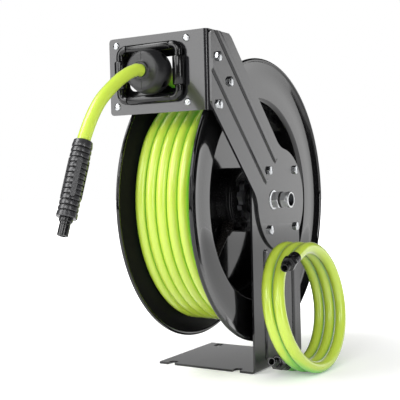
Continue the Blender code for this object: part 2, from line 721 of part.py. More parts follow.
def build_bracket():
    """The guide bracket: a front plate with a window, bent back into a flange inside the arm."""
    back_y = GUIDE_FRONT_Y + SHEET
    r_out, r_in = GUIDE_BEND_R, GUIDE_BEND_R - SHEET
    corner = (POST_OUT_X - r_out, GUIDE_FRONT_Y + r_out)
    outline = [(GUIDE_LEFT_X, GUIDE_FRONT_Y)]
    outline += arc(corner, r_out, -math.pi / 2, 0, 6)
    outline += [(POST_OUT_X, GUIDE_FLANGE_Y), (POST_IN_X, GUIDE_FLANGE_Y)]
    outline += arc(corner, r_in, 0, -math.pi / 2, 6)
    outline += [(GUIDE_LEFT_X, back_y)]
    height = GUIDE_TOP - GUIDE_BOTTOM
    bracket = plate("guide_bracket", outline, [], height, FRAME_PAINT, (0, 0, GUIDE_BOTTOM), UPRIGHT)

    reach = 2 * POST_OUT_X
    face = rounded_rectangle(((GUIDE_LEFT_X + reach) / 2, (GUIDE_TOP + GUIDE_BOTTOM) / 2),
                             reach - GUIDE_LEFT_X, height, GUIDE_CORNER_R, 4)
    shape = plate_mesh("bracket_corners", face, [], -2 * GUIDE_FRONT_Y)
    combine(bracket, tool("bracket_corners", shape, (0, 0, 0), FACE_FRONT), "INTERSECT")
    window = rounded_rectangle((GUIDE_X, GUIDE_Z), WINDOW_W, WINDOW_H, WINDOW_R, 6)
    cut(bracket, tool("guide_window", plate_mesh("guide_window", window, [], 0.02),
                      (0, GUIDE_FRONT_Y + 0.01, 0), FACE_FRONT))
    for i, (x, z) in enumerate(carrier_screw_places()):
        cut(bracket, rod_tool(f"bracket_screw_hole_{i}", CARRIER_SCREW_R + GAP, 0.02,
                              (x, GUIDE_FRONT_Y + 0.01, z), FACE_FRONT))
    for i, (y, z) in enumerate(GUIDE_BOLTS):
        weld = [(0, 0), (0, WELD_NUT_AF / 2, HEX), (GUIDE_NUT_HEIGHT + SHEET / 2, WELD_NUT_AF / 2, HEX),
                (GUIDE_NUT_HEIGHT + SHEET / 2, 0)]
        place = (POST_IN_X - GUIDE_NUT_HEIGHT, y, z)
        join(bracket, tool(f"bracket_weld_nut_{i}", turned_mesh("weld_nut", weld, 12), place, STAND_YAW))
        cut(bracket, rod_tool(f"bracket_bolt_hole_{i}", BOLT_R + GAP, 0.03, (POST_IN_X - 0.015, y, z), STAND_YAW))
    return bracket


def carrier_screw_places():
    """The four screws of the roller carrier, as (x, z)."""
    dx, dz = CARRIER_SCREW_W / 2, CARRIER_SCREW_H / 2
    return [(GUIDE_X + sx * dx, GUIDE_Z + sz * dz) for sx, sz in ((-1, 1), (1, 1), (-1, -1), (1, -1))]


def build_carrier():
    """The moulded roller carrier behind the window, its corner lugs, pins, rollers and screws."""
    front = GUIDE_FRONT_Y + SHEET + GAP
    centre = (GUIDE_X, GUIDE_Z)
    outline = rounded_rectangle(centre, CARRIER_W, CARRIER_H, CARRIER_R, 4)
    opening = rounded_rectangle(centre, CARRIER_OPEN_W, CARRIER_OPEN_H, CARRIER_OPEN_R, 4)
    holes = [opening] + [circle(place, CARRIER_SCREW_R + GAP, 10) for place in carrier_screw_places()]
    carrier = plate("roller_carrier", outline, holes, CARRIER_T, BLACK_PLASTIC, (0, front + CARRIER_T, 0), FACE_FRONT)

    lug_w = WINDOW_W / 2 - GAP
    lug_h = WINDOW_H / 2 - GAP
    inner_x = FLAT_ROLLER_HALF + GAP * 2
    inner_z = TALL_ROLLER_HALF + GAP * 2
    depth = front + CARRIER_T / 2 - LUG_FRONT_Y
    for i, (sx, sz) in enumerate(((1, 1), (-1, 1), (-1, -1), (1, -1))):
        lug = [(inner_x, inner_z), (lug_w, inner_z)]
        lug += arc((lug_w - WINDOW_R + GAP, lug_h - WINDOW_R + GAP), WINDOW_R - GAP, 0, math.pi / 2, 5)
        lug += [(inner_x, lug_h)]
        lug = [(GUIDE_X + sx * x, GUIDE_Z + sz * z) for x, z in lug]
        join(carrier, tool(f"carrier_lug_{i}", plate_mesh("carrier_lug", lug, [], depth),
                           (0, front + CARRIER_T / 2, 0), FACE_FRONT))

    flat_reach = FLAT_ROLLER_HALF + GAP * 2 + PIN_SEAT
    tall_reach = TALL_ROLLER_HALF + GAP * 2 + PIN_SEAT
    bore = PIN_R + RUN
    for word, side in (("top", 1), ("bottom", -1)):
        z = GUIDE_Z + side * FLAT_ROLLER_OFFSET
        cut(carrier, rod_tool(f"{word}_pin_hole", PIN_R + GAP, 2 * flat_reach + 2 * GAP,
                              (GUIDE_X - flat_reach - GAP, ROLLER_Y, z), STAND_YAW))
        turned(f"{word}_roller_pin", [(-flat_reach, 0), (-flat_reach, PIN_R), (flat_reach, PIN_R), (flat_reach, 0)],
               ZINC, 12, (GUIDE_X, ROLLER_Y, z))
        turned(f"{word}_roller", tube_profile(-FLAT_ROLLER_HALF, FLAT_ROLLER_HALF, FLAT_ROLLER_R, bore),
               BLACK_PLASTIC, 16, (GUIDE_X, ROLLER_Y, z))
    for word, side in (("right", 1), ("left", -1)):
        x = GUIDE_X + side * TALL_ROLLER_OFFSET
        cut(carrier, rod_tool(f"{word}_pin_hole", PIN_R + GAP, 2 * tall_reach + 2 * GAP,
                              (x, ROLLER_Y, GUIDE_Z - tall_reach - GAP), UPRIGHT))
        turned(f"{word}_roller_pin", [(-tall_reach, 0), (-tall_reach, PIN_R), (tall_reach, PIN_R), (tall_reach, 0)],
               ZINC, 12, (x, ROLLER_Y, GUIDE_Z), UPRIGHT)
        turned(f"{word}_roller", tube_profile(-TALL_ROLLER_HALF, TALL_ROLLER_HALF, TALL_ROLLER_R, bore),
               BLACK_PLASTIC, 16, (x, ROLLER_Y, GUIDE_Z), UPRIGHT)
    for i, (x, z) in enumerate(carrier_screw_places()):
        pan_screw(f"carrier_screw_{i + 1}", (x, GUIDE_FRONT_Y, z), FACE_FRONT, CARRIER_SCREW_R,
                  CARRIER_HEAD_R, CARRIER_HEAD_H, SHEET + GAP + CARRIER_T)


def drum_half(name, side, parent):
    """One pressed drum half: a deep cup, a flat ring, a flared edge and a rolled bead."""
    bend = CUP_CORNER_R
    edge = CUP_EDGE_R
    middle = [(CUP_FLOOR_X, CUP_HOLE_R)]
    middle += arc((CUP_FLOOR_X + bend, CUP_R - bend), bend, math.pi, math.pi / 2, 3)
    middle += arc((ANNULUS_X - edge, CUP_R + edge), edge, -math.pi / 2, 0, 3)
    middle += [(ANNULUS_X, ANNULUS_OUT_R)]
    bead = Vector((RIM_BEAD_X, RIM_R - RIM_BEAD_R))
    middle.append(tuple(bead - (bead - Vector(middle[-1])).normalized() * RIM_BEAD_R))
    profile = sheet_profile(middle, DRUM_SHEET, RIM_BEAD_R)
    profile = [(side * point[0], point[1]) for point in profile]
    return turned(name, profile, DRUM_PAINT, DRUM_STEPS, AXIS, parent=parent)


def build_drum():
    """The drum's two halves, hub, ratchet, spring pack, air pipe and wound hose."""
    drum = axle_parent("drum_axis")
    near = drum_half("drum_half_near", 1, drum)
    drum_half("drum_half_far", -1, drum)

    housing_start = CUP_FLOOR_FACE + GAP
    housing = turned("hub_housing", [
        (housing_start, BORE_R), (housing_start, HUB_R), (HUB_FACE_X, HUB_R), (HUB_FACE_X, NOSE_R),
        (NOSE_X - 0.001, NOSE_R), (NOSE_X, NOSE_R - 0.001), (NOSE_X, BORE_R),
    ], BLACK_METAL, 24, AXIS, parent=drum)
    cover_start = HUB_FACE_X + GAP
    cover_face = cover_start + HUB_COVER_T
    screw_places = [(polar(HUB_SCREW_CIRCLE, a)) for a in HUB_SCREW_ANGLES]
    cover_holes = [circle((0, 0), NOSE_R + GAP, 24)] + [circle(p, HUB_SCREW_R + GAP, 10) for p in screw_places]
    plate("hub_cover", circle((0, 0), HUB_COVER_R, 24), cover_holes, HUB_COVER_T, BLACK_METAL,
          (cover_start, 0, AXLE_Z), parent=drum)
    for i, (y, z) in enumerate(screw_places):
        cut(housing, rod_tool(f"hub_screw_hole_{i}", HUB_SCREW_R + GAP, HUB_SCREW_DEPTH + 0.01,
                              (HUB_FACE_X - HUB_SCREW_DEPTH, y, AXLE_Z + z), STAND_YAW))
        pan_screw(f"hub_screw_{i + 1}", (cover_face, y, AXLE_Z + z), STAND_YAW, HUB_SCREW_R, HUB_SCREW_HEAD_R,
                  HUB_SCREW_HEAD_H, HUB_COVER_T + HUB_SCREW_DEPTH, BLACK_METAL, drum)

    bush = turned("hub_bushing", tube_profile(HUB_FACE_X, NOSE_X - GAP, BORE_R - GAP, SHAFT_R + RUN),
                  BRONZE, 16, AXIS, parent=drum)
    ratchet = []
    for i in range(RATCHET_TEETH):
        start = RATCHET_PHASE + 2 * math.pi * i / RATCHET_TEETH
        pitch = 2 * math.pi / RATCHET_TEETH
        ratchet.append(polar(RATCHET_R, start))
        ratchet.append(polar(RATCHET_R, start + pitch * 0.33))
        ratchet.append(polar(RATCHET_ROOT_R, start + pitch * 0.67))
        ratchet.append(polar(RATCHET_ROOT_R, start + pitch * 0.97))
    plate("ratchet_wheel", ratchet, [circle((0, 0), NOSE_R + GAP, 24)], RATCHET_T, STEEL,
          (cover_face + GAP, 0, AXLE_Z), parent=drum)

    pipe_direction = (0.0, *polar(1.0, PIPE_ANGLE))
    pipe_start = HUB_R + GAP
    wall_in = CUP_R - DRUM_SHEET / 2
    nut = PIPE_NUT_LENGTH
    pipe_end = CUP_WALL_OUT - 2 * GAP
    collar_end = math.sqrt(wall_in ** 2 - (PIPE_NUT_AF / 1.7) ** 2) - 3 * GAP
    pipe = turned("air_pipe", [
        (pipe_start, PIPE_BORE_R), (pipe_start, PIPE_NUT_AF / 2, HEX), (pipe_start + nut, PIPE_NUT_AF / 2, HEX),
        (pipe_start + nut, PIPE_R), (collar_end - nut, PIPE_R), (collar_end - nut, PIPE_NUT_AF / 2, HEX),
        (collar_end, PIPE_NUT_AF / 2, HEX), (collar_end, PIPE_R), (pipe_end, PIPE_R), (pipe_end, PIPE_BORE_R),
    ], BLACK_METAL, 12, (AIR_PORT_X, 0, AXLE_Z), aim(pipe_direction), parent=drum)
    place = Vector((AIR_PORT_X, 0, AXLE_Z)) + Vector(pipe_direction) * (CUP_R - 0.01)
    cut(near, rod_tool("cup_pipe_hole", PIPE_R + GAP, 0.02, place, aim(pipe_direction)))
    place = Vector((AIR_PORT_X, 0, AXLE_Z)) + Vector(pipe_direction) * (BORE_R - 0.003)
    cut(housing, rod_tool("hub_air_port", PIPE_BORE_R, HUB_R, place, aim(pipe_direction)))

    case_back = -(CUP_FLOOR_FACE + GAP)
    case_front = case_back - CASE_DEPTH
    turned("spring_case", [
        (case_back, BORE_R), (case_back, CASE_R), (case_front, CASE_R), (case_front, CASE_R - CASE_WALL),
        (case_back - CASE_WALL, CASE_R - CASE_WALL), (case_back - CASE_WALL, BORE_R),
    ], BLACK_METAL, 24, AXIS, parent=drum)
    cover = case_front - GAP
    boss = cover - COVER_T
    turned("spring_cover", [
        (cover, BORE_R), (cover, CASE_R), (boss, CASE_R), (boss, COVER_BOSS_R),
        (COVER_BOSS_X, COVER_BOSS_R - 0.001), (COVER_BOSS_X, BORE_R),
    ], BLACK_METAL, 24, AXIS, parent=drum)
    turned("cover_bushing", tube_profile(COVER_BOSS_X, cover, BORE_R - GAP, SHAFT_R + RUN),
           BRONZE, 16, AXIS, parent=drum)

    outer = CASE_R - CASE_WALL - 2 * GAP
    count = SPRING_TURNS * SPRING_POINTS
    rise = outer - SPRING_T - SPRING_IN_R
    inner_side = []
    outer_side = []
    for i in range(count + 1):
        angle = 2 * math.pi * i / SPRING_POINTS
        radius = SPRING_IN_R + rise * i / count
        inner_side.append(polar(radius, angle))
        outer_side.append(polar(radius + SPRING_T, angle))
    width = CASE_DEPTH - CASE_WALL - 2 * SPRING_SIDE_GAP
    plate("power_spring", outer_side + inner_side[::-1], [], width, SPRING_STEEL,
          (case_front + SPRING_SIDE_GAP, 0, AXLE_Z), parent=drum)

    core_out = WIND_R * math.cos(math.pi / POINTS_PER_TURN) - HOSE_R - CORE_SKIN
    core_in = CUP_WALL_OUT + GAP
    wide = ANNULUS_X - DRUM_SHEET / 2 - GAP
    narrow = ANNULUS_X - CUP_EDGE_R - DRUM_SHEET / 2 - GAP
    step = core_in + CUP_EDGE_R
    turned("hose_core", [
        (-wide, step), (-wide, core_out), (wide, core_out), (wide, step), (narrow, core_in), (-narrow, core_in),
    ], HOSE, DRUM_STEPS, AXIS, parent=drum)
    return bush, pipe


def wound_point(angle):
    """A point of the outer layer. Each turn lies flat in its slot, then steps to the next one."""
    turn, within = divmod(angle - STEP_START, 2 * math.pi)
    step = (1 - math.cos(math.pi * within / STEP_ARC)) / 2 if within < STEP_ARC else 1
    x = ((STRANDS - 1) / 2 - (turn + step - 1)) * STRAND_PITCH
    y, z = polar(WIND_R, angle)
    return x, y, AXLE_Z + z


def square_end(points, centre_angle, back):
    """Close a chain with a straight stretch of one tube diameter that ends at an angle on the winding."""
    end = Vector(wound_point(centre_angle))
    y, z = polar(1.0, centre_angle + (-math.pi / 2 if back else math.pi / 2))
    return [tuple(end + Vector((0, y, z)) * 2 * HOSE_R), tuple(end)]


def build_winding():
    """The outer layer of hose: flat turns that each step to the next, in one unbroken tube.

    It stays with the stand, because its last turn leads to the guide. The drum turns inside it.
    """
    begin = STEP_START + STEP_ARC + math.radians(2)
    end = STEP_START + 2 * math.pi * (STRANDS - 1)
    margin = 2.4 * HOSE_R / WIND_R
    count = round((end - begin) / (2 * math.pi) * POINTS_PER_TURN)
    points = [wound_point(a) for a in np.linspace(begin, end - margin * 2, count)]
    first = Vector(points[0]) + (Vector(points[0]) - Vector(points[1])).normalized() * 2 * HOSE_R
    points = [tuple(first), *points, *square_end(points, end - GAP / WIND_R, True)]
    print("hose winding, least gap to itself, mm:", round(1000 * least_gap(points, HOSE_R, 8), 2))
    tube("hose_winding", points, HOSE_R, HOSE, 1)


def build_feed():
    """The hose's last turn, which leaves the drum at its top and runs through the guide and the ball stop."""
    begin = STEP_START + 2 * math.pi * (STRANDS - 1)
    end = math.pi / 2 + 2 * math.pi * STRANDS
    margin = 2.4 * HOSE_R / WIND_R
    count = round((end - begin) / (2 * math.pi) * POINTS_PER_TURN)
    points = square_end([], begin, False)[::-1]
    points += [wound_point(a) for a in np.linspace(begin + margin * 2, end, count)]
    slot_x = points[-1][0]
    top_z = AXLE_Z + WIND_R
    for t in np.linspace(0, 1, 9):
        ease = (1 - math.cos(math.pi * t)) / 2
        points.append((slot_x + (OUTLET_X - slot_x) * ease,
                       FEED_BEND_Y0 + (FEED_BEND_Y1 - FEED_BEND_Y0) * t,
                       top_z + (OUTLET_Z - top_z) * ease))
    points.append((OUTLET_X, BALL_Y - BALL_FACE - COLLAR_OUT, OUTLET_Z))
    print("hose feed, least gap to itself, mm:", round(1000 * least_gap(points, HOSE_R, 6), 2))
    tube("hose_feed", points, HOSE_R, HOSE, 1)


def build_shaft():
    """The fixed hollow axle, its nut, washer, seal, retaining ring and the inlet swivel."""
    flange_end = POST_IN_X - GAP
    retainer_x = COVER_BOSS_X - GAP - RETAINER_T
    shaft = turned("axle_shaft", [
        (SHAFT_BACK_X, 0), (SHAFT_BACK_X, SHAFT_R), (retainer_x - GAP, SHAFT_R), (retainer_x - GAP, RETAINER_GROOVE_R),
        (COVER_BOSS_X, RETAINER_GROOVE_R), (COVER_BOSS_X, SHAFT_R), (flange_end - SHAFT_FLANGE_T, SHAFT_R),
        (flange_end - SHAFT_FLANGE_T, SHAFT_FLANGE_R), (flange_end, SHAFT_FLANGE_R), (flange_end, SHAFT_THREAD_R),
        (SHAFT_END_X, SHAFT_THREAD_R), (SHAFT_END_X, AIR_BORE_R), (AIR_BORE_X, AIR_BORE_R), (AIR_BORE_X, 0),
    ], STEEL, 16, AXIS)
    cut(shaft, rod_tool("shaft_air_port", AIR_PORT_R, SHAFT_R * 2, (AIR_PORT_X, 0, AXLE_Z), FACE_FRONT))
    turned("shaft_retainer", tube_profile(retainer_x, COVER_BOSS_X - GAP, RETAINER_R, RETAINER_GROOVE_R + GAP),
           STEEL, 16, AXIS, sweep=math.radians(300))

    bore = SHAFT_THREAD_R + GAP
    washer_x = ARM_OUT_X + GAP
    nut_x = washer_x + NUT_WASHER_T + GAP
    seal_x = nut_x + NUT_T + GAP
    swivel_x = seal_x + SEAL_T + GAP
    turned("axle_washer", tube_profile(washer_x, washer_x + NUT_WASHER_T, NUT_WASHER_R, bore), ZINC, 16, AXIS)
    chamfer = 0.0008
    turned("axle_nut", [
        (nut_x, bore), (nut_x, NUT_AF / 2), (nut_x + chamfer, NUT_AF / 2, HEX),
        (nut_x + NUT_T - chamfer, NUT_AF / 2, HEX), (nut_x + NUT_T, NUT_AF / 2), (nut_x + NUT_T, bore),
    ], ZINC, 24, AXIS)
    turned("swivel_seal", [
        (seal_x, bore), (seal_x, SEAL_R - chamfer), (seal_x + SEAL_T / 2, SEAL_R),
        (seal_x + SEAL_T, SEAL_R - chamfer), (seal_x + SEAL_T, bore),
    ], RUBBER, 12, AXIS)
    hex_end = swivel_x + SWIVEL_HEX_LENGTH
    end = hex_end + SWIVEL_COLLAR_LENGTH
    pocket = SHAFT_END_X + GAP
    floor = end - INLET_DEPTH
    turned("inlet_swivel", [
        (swivel_x, SHAFT_THREAD_R + RUN), (swivel_x, SWIVEL_AF / 2, HEX), (hex_end, SWIVEL_AF / 2, HEX),
        (hex_end, SWIVEL_COLLAR_R), (end - chamfer / 2, SWIVEL_COLLAR_R), (end, SWIVEL_COLLAR_R - chamfer / 2),
        (end, INLET_BORE_R), (floor, INLET_BORE_R), (floor, AIR_BORE_R), (pocket, AIR_BORE_R),
        (pocket, SHAFT_THREAD_R + RUN),
    ], ZINC, 24, AXIS)


def build_pawl():
    """The ratchet pawl, its pin on the post's inner face and its torsion spring."""
    py, pz = polar(PAWL_PIVOT_R, PAWL_PIVOT_ANGLE)
    pivot = Vector((py, pz))
    nose = Vector(polar(RATCHET_R + PAWL_NOSE_CLEAR, PAWL_NOSE_ANGLE))
    along = (nose - pivot).normalized()
    inward = Vector((-along.y, along.x))
    if inward.dot(pivot) > 0:
        inward = -inward
    length = (nose - pivot).length
    shape = arc((0, 0), PAWL_BOSS_R, math.radians(50), math.radians(310), 12)
    shape += [(length * 0.45, -0.0046), (length - 0.001, -0.0042), (length, 0), (length - 0.005, 0.0004)]
    shape += [(length * 0.5, 0.0014)]
    outline = [tuple(along * u + inward * v) for u, v in shape]
    axis = axle_parent("pawl_axis", (0, py, AXLE_Z + pz))
    plate("pawl", outline, [circle((0, 0), PAWL_PIN_R + RUN, 16)], PAWL_T, STEEL, (PAWL_X0, py, AXLE_Z + pz),
          parent=axis)

    base = POST_IN_X - GAP
    head = PAWL_X0 - GAP
    turned("pawl_pin", [
        (head - PAWL_PIN_HEAD_T, 0), (head - PAWL_PIN_HEAD_T, PAWL_PIN_HEAD_R), (head, PAWL_PIN_HEAD_R),
        (head, PAWL_PIN_R), (base - PAWL_PIN_BASE_T, PAWL_PIN_R), (base - PAWL_PIN_BASE_T, PAWL_PIN_BASE_R),
        (base, PAWL_PIN_BASE_R), (base, 0),
    ], STEEL, 16, (0, py, AXLE_Z + pz))
    start_x = PAWL_X0 + PAWL_T + PAWL_WIRE_R + GAP
    end_x = base - PAWL_PIN_BASE_T - PAWL_WIRE_R - GAP
    count = PAWL_SPRING_TURNS * 8
    points = []
    for i in range(count + 1):
        y, z = polar(PAWL_SPRING_R, 2 * math.pi * i / 8)
        points.append((start_x + (end_x - start_x) * i / count, py + y, AXLE_Z + pz + z))
    print("pawl spring, least gap to itself, mm:", round(1000 * least_gap(points, PAWL_WIRE_R, 5), 2))
    tube("pawl_spring", points, PAWL_WIRE_R, SPRING_STEEL, 1)


def build_outlet():
    """The ball stop's two halves and screws, the free hose, its grip and its end fitting."""
    bore = HOSE_R + GAP
    tail = -BALL_TAIL
    profile = [(tail, bore), (tail, 0.013)]
    profile += [(h, math.sqrt(BALL_R ** 2 - h ** 2)) for h in (-0.020, -0.014, -0.007, 0.0, 0.006, 0.011)]
    profile += [(BALL_FACE - 0.002, BALL_FACE_R + 0.0007), (BALL_FACE, BALL_FACE_R - 0.0012), (BALL_FACE, COLLAR_R)]
    profile += [(BALL_FACE + COLLAR_OUT, COLLAR_R - 0.0006), (BALL_FACE + COLLAR_OUT, bore)]
    place = (OUTLET_X, BALL_Y, OUTLET_Z)
    halves = []
    for name, turn in (("ball_stop_near", -90), ("ball_stop_far", 90)):
        half = turned(name, profile, RUBBER, 10, place, FACE_FRONT, sweep=math.pi)
        half.data.transform(Matrix.Rotation(math.radians(turn), 4, "Z"))
        half.data.transform(Matrix.Translation((GAP / 2 * (1 if turn < 0 else -1), 0, 0)))
        halves.append(half)
    for i, side in enumerate((1, -1)):
        z = OUTLET_Z + side * BALL_SCREW_OFFSET
        shank = BALL_SCREW_X1 - BALL_SCREW_X0
        for half in halves:
            cut(half, rod_tool(f"{half.name}_screw_hole_{i}", BALL_SCREW_R + GAP, shank + 0.002,
                               (BALL_SCREW_X0 - GAP, BALL_Y, z), STAND_YAW))
        cut(halves[0], rod_tool(f"ball_counterbore_{i}", BALL_SCREW_HEAD_R + GAP, 0.03,
                                (BALL_SCREW_X1, BALL_Y, z), STAND_YAW))
        pan_screw(f"ball_stop_screw_{i + 1}", (BALL_SCREW_X1, BALL_Y, z), STAND_YAW, BALL_SCREW_R,
                  BALL_SCREW_HEAD_R, 0.0022, shank)

    top = Vector((OUTLET_X, *GRIP_TOP))
    foot = Vector((OUTLET_X, *GRIP_FOOT))
    down = (foot - top).normalized()
    face_y = BALL_Y - BALL_FACE - COLLAR_OUT - GAP
    route = [(OUTLET_X, face_y - HOSE_R, OUTLET_Z)] + [(OUTLET_X, *point) for point in OUTLET_ROUTE]
    route += [tuple(top - down * HOSE_R / 2)]
    points = [(OUTLET_X, face_y, OUTLET_Z), *smooth_route(route, 2.2 * HOSE_R), tuple(top + down * GRIP_SOCKET)]
    tube("outlet_hose", points, HOSE_R, HOSE, 2)

    length = (foot - top).length
    turned("grip", [
        (0, bore), (0, GRIP_R - 0.0015), (0.0015, GRIP_R), (length - 0.002, GRIP_R + 0.0006),
        (length, GRIP_R - 0.001), (length, GRIP_BORE_R + GAP), (GRIP_SOCKET + GAP * 2, GRIP_BORE_R + GAP),
        (GRIP_SOCKET + GAP * 2, bore),
    ], BLACK_PLASTIC, 14, top, aim(down))
    turned("end_fitting", [
        (-FITTING_TANG, FITTING_BORE_R), (-FITTING_TANG, GRIP_BORE_R), (GAP, GRIP_BORE_R), (GAP, FITTING_COLLAR_R),
        (FITTING_COLLAR, FITTING_COLLAR_R), (FITTING_COLLAR + 0.001, FITTING_R), (FITTING_LENGTH, FITTING_R),
        (FITTING_LENGTH, FITTING_BORE_R),
    ], BLACK_METAL, 12, foot, aim(down))


def lead_point(angle):
    """A point of the lead-in coil's centre line. The coil leans back towards the post."""
    x = LEAD_X - LEAD_PITCH * (angle - LEAD_REFERENCE) / (2 * math.pi)
    centre_z = LEAD_R * math.cos(LEAD_LEAN) + LEAD_FLOOR
    rise, reach = math.cos(angle), math.sin(angle)
    return (
        x - LEAD_R * math.sin(LEAD_LEAN) * rise + LEAD_R * math.sin(LEAD_YAW) * reach,
        LEAD_Y + LEAD_R * math.cos(LEAD_YAW) * reach,
        centre_z + LEAD_R * math.cos(LEAD_LEAN) * rise,
    )


def build_lead_in():
    """The short coiled hose that feeds the reel, standing beside the post, with a fitting at each end."""
    sweep = LEAD_END - LEAD_START
    count = round(sweep / (2 * math.pi) * POINTS_PER_TURN)
    coil = [lead_point(LEAD_START + sweep * i / count) for i in range(count + 1)]
    top_way = Vector(LEAD_TOP_DIRECTION).normalized()
    foot_way = (Vector(LEAD_FOOT_ROUTE[-1]) - Vector(LEAD_FOOT_ROUTE[-2])).normalized()
    first = Vector(coil[0]) + top_way * LEAD_STRAIGHT
    last = Vector(LEAD_FOOT_ROUTE[-1])
    points = [tuple(first), *coil, *LEAD_FOOT_ROUTE]
    print("lead-in hose, least gap to itself, mm:", round(1000 * least_gap(points, HOSE_R, 8), 2))
    tube("lead_in_hose", points, HOSE_R, HOSE, 1)
    length = LEAD_FITTING_LENGTH
    profile = [
        (0, LEAD_FITTING_BORE_R), (0, LEAD_FITTING_R), (length * 0.42, LEAD_FITTING_R),
        (length * 0.45, LEAD_FITTING_AF / 2, HEX), (length * 0.68, LEAD_FITTING_AF / 2, HEX),
        (length * 0.71, LEAD_FITTING_TIP_R), (length, LEAD_FITTING_TIP_R), (length, LEAD_FITTING_BORE_R),
    ]
    for name, place, way in (("lead_in_fitting_top", first, top_way), ("lead_in_fitting_foot", last, foot_way)):
        turned(name, profile, BLACK_METAL, 12, place + way * GAP, aim(way))


build_stand()
build_arm()
build_bracket()
build_carrier()
build_drum()
build_winding()
build_feed()
build_shaft()
build_pawl()
build_outlet()
build_lead_in()
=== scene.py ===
"""Looks of a retractable air hose reel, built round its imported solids.

Everything is in metres in the reel's own frame: X along the axle towards the post, -Y towards the
hose outlet, Z up, with the origin under the axle on the underside of the base plate.
"""

from __future__ import annotations

import json
import logging
import math
from collections.abc import Callable, Iterable, Sequence
from dataclasses import dataclass
from enum import Enum

import bmesh
import bpy
from mathutils import Matrix, Vector

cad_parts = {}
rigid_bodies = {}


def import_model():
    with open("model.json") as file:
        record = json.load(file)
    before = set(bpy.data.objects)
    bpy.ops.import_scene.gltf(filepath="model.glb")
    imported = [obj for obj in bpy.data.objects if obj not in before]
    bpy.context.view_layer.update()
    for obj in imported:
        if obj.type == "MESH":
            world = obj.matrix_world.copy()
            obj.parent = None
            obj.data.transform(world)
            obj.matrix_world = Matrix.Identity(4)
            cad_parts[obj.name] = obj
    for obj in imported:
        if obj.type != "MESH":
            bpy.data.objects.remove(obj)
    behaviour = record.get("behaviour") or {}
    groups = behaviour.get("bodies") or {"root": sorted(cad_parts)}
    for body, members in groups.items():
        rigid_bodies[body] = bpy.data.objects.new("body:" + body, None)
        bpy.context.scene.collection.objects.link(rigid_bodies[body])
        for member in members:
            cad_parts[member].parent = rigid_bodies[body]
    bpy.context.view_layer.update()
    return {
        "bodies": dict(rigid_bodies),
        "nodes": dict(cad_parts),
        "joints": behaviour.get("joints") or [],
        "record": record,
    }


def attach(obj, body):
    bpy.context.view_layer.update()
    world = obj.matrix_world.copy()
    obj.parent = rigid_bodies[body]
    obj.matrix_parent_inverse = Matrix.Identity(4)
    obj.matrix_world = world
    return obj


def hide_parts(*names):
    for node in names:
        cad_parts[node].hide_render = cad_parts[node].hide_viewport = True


LOG = logging.getLogger("hose_reel")

Point2 = tuple[float, float]
Point3 = tuple[float, float, float]

MM = 0.001
GAP = 0.0003
SHEET = 0.003
AXLE_Z = 0.234
AXLE_BORE = 0.0083
POST_OUT_X = 0.0652
POST_IN_X = POST_OUT_X - SHEET
ARM_IN_X = 0.0655
ARM_OUT_X = ARM_IN_X + SHEET
HOSE_R = 0.00775
PIN_R = 0.00205
BOLT_HOLE_R = 0.0034
SCREW_HOLE_R = 0.0024
SHARP = math.radians(38)
CORNERS = ((-1, 1), (1, 1), (-1, -1), (1, -1))
# Middles of the bolts through the arm, as (y, z)
ARM_BOLTS = tuple((0.0235 + 0.0410 * y, AXLE_Z + 0.0410 * z) for y, z in CORNERS)
GUIDE_BOLTS = ((-0.1504, 0.4172), (-0.1223, 0.3885), (-0.1504, 0.3583))

# Local X, Y, Z lie along world Y, Z, X: a drawing in the YZ plane, thick along X
FACE_X = Matrix(((0, 0, 1), (1, 0, 0), (0, 1, 0))).to_4x4()
# Local X, Y, Z lie along world X, Z, -Y: a drawing in the XZ plane, thick towards the front
FACE_FRONT = Matrix(((1, 0, 0), (0, 0, -1), (0, 1, 0))).to_4x4()


def linear(code: str) -> tuple[float, float, float, float]:
    """Turn an sRGB hex colour into linear light.

    Args:
        code: Six hex digits after a hash sign.

    Returns:
        Linear red, green and blue, and full opacity.
    """
    parts = [int(code[i:i + 2], 16) / 255 for i in (1, 3, 5)]
    out = [p / 12.92 if p <= 0.04045 else ((p + 0.055) / 1.055) ** 2.4 for p in parts]
    return out[0], out[1], out[2], 1.0


def add(tree: bpy.types.NodeTree, kind: str, inputs: dict | None = None, **settings) -> bpy.types.Node:
    """Add a shader node with its settings, values and links.

    Args:
        tree: The node tree to add to.
        kind: The node's type name without its ShaderNode prefix.
        inputs: Socket name or number to a value, or to another node's output socket.
        settings: Attributes of the node itself.

    Returns:
        The new node.
    """
    made = tree.nodes.new("ShaderNode" + kind)
    for key, value in settings.items():
        setattr(made, key, value)
    for key, value in (inputs or {}).items():
        if isinstance(value, bpy.types.NodeSocket):
            tree.links.new(value, made.inputs[key])
        else:
            made.inputs[key].default_value = value
    return made


def start_material(name: str, **sockets) -> tuple[bpy.types.Material, bpy.types.Node]:
    """Start a material on its Principled shader.

    Args:
        name: Name of the material.
        sockets: Constants of the shader, with underscores for the spaces in a socket's name.

    Returns:
        The material and its shader.
    """
    mat = bpy.data.materials.new(name)
    mat.use_nodes = True
    shader = mat.node_tree.nodes["Principled BSDF"]
    for socket, value in sockets.items():
        shader.inputs[socket.replace("_", " ")].default_value = value
    return mat, shader


class Texture(Enum):
    """What the surface's fine relief looks like."""

    PEEL = "peel"
    GRAIN = "grain"
    DRAWN = "drawn"
    PLATED = "plated"
    EXTRUDED = "extruded"


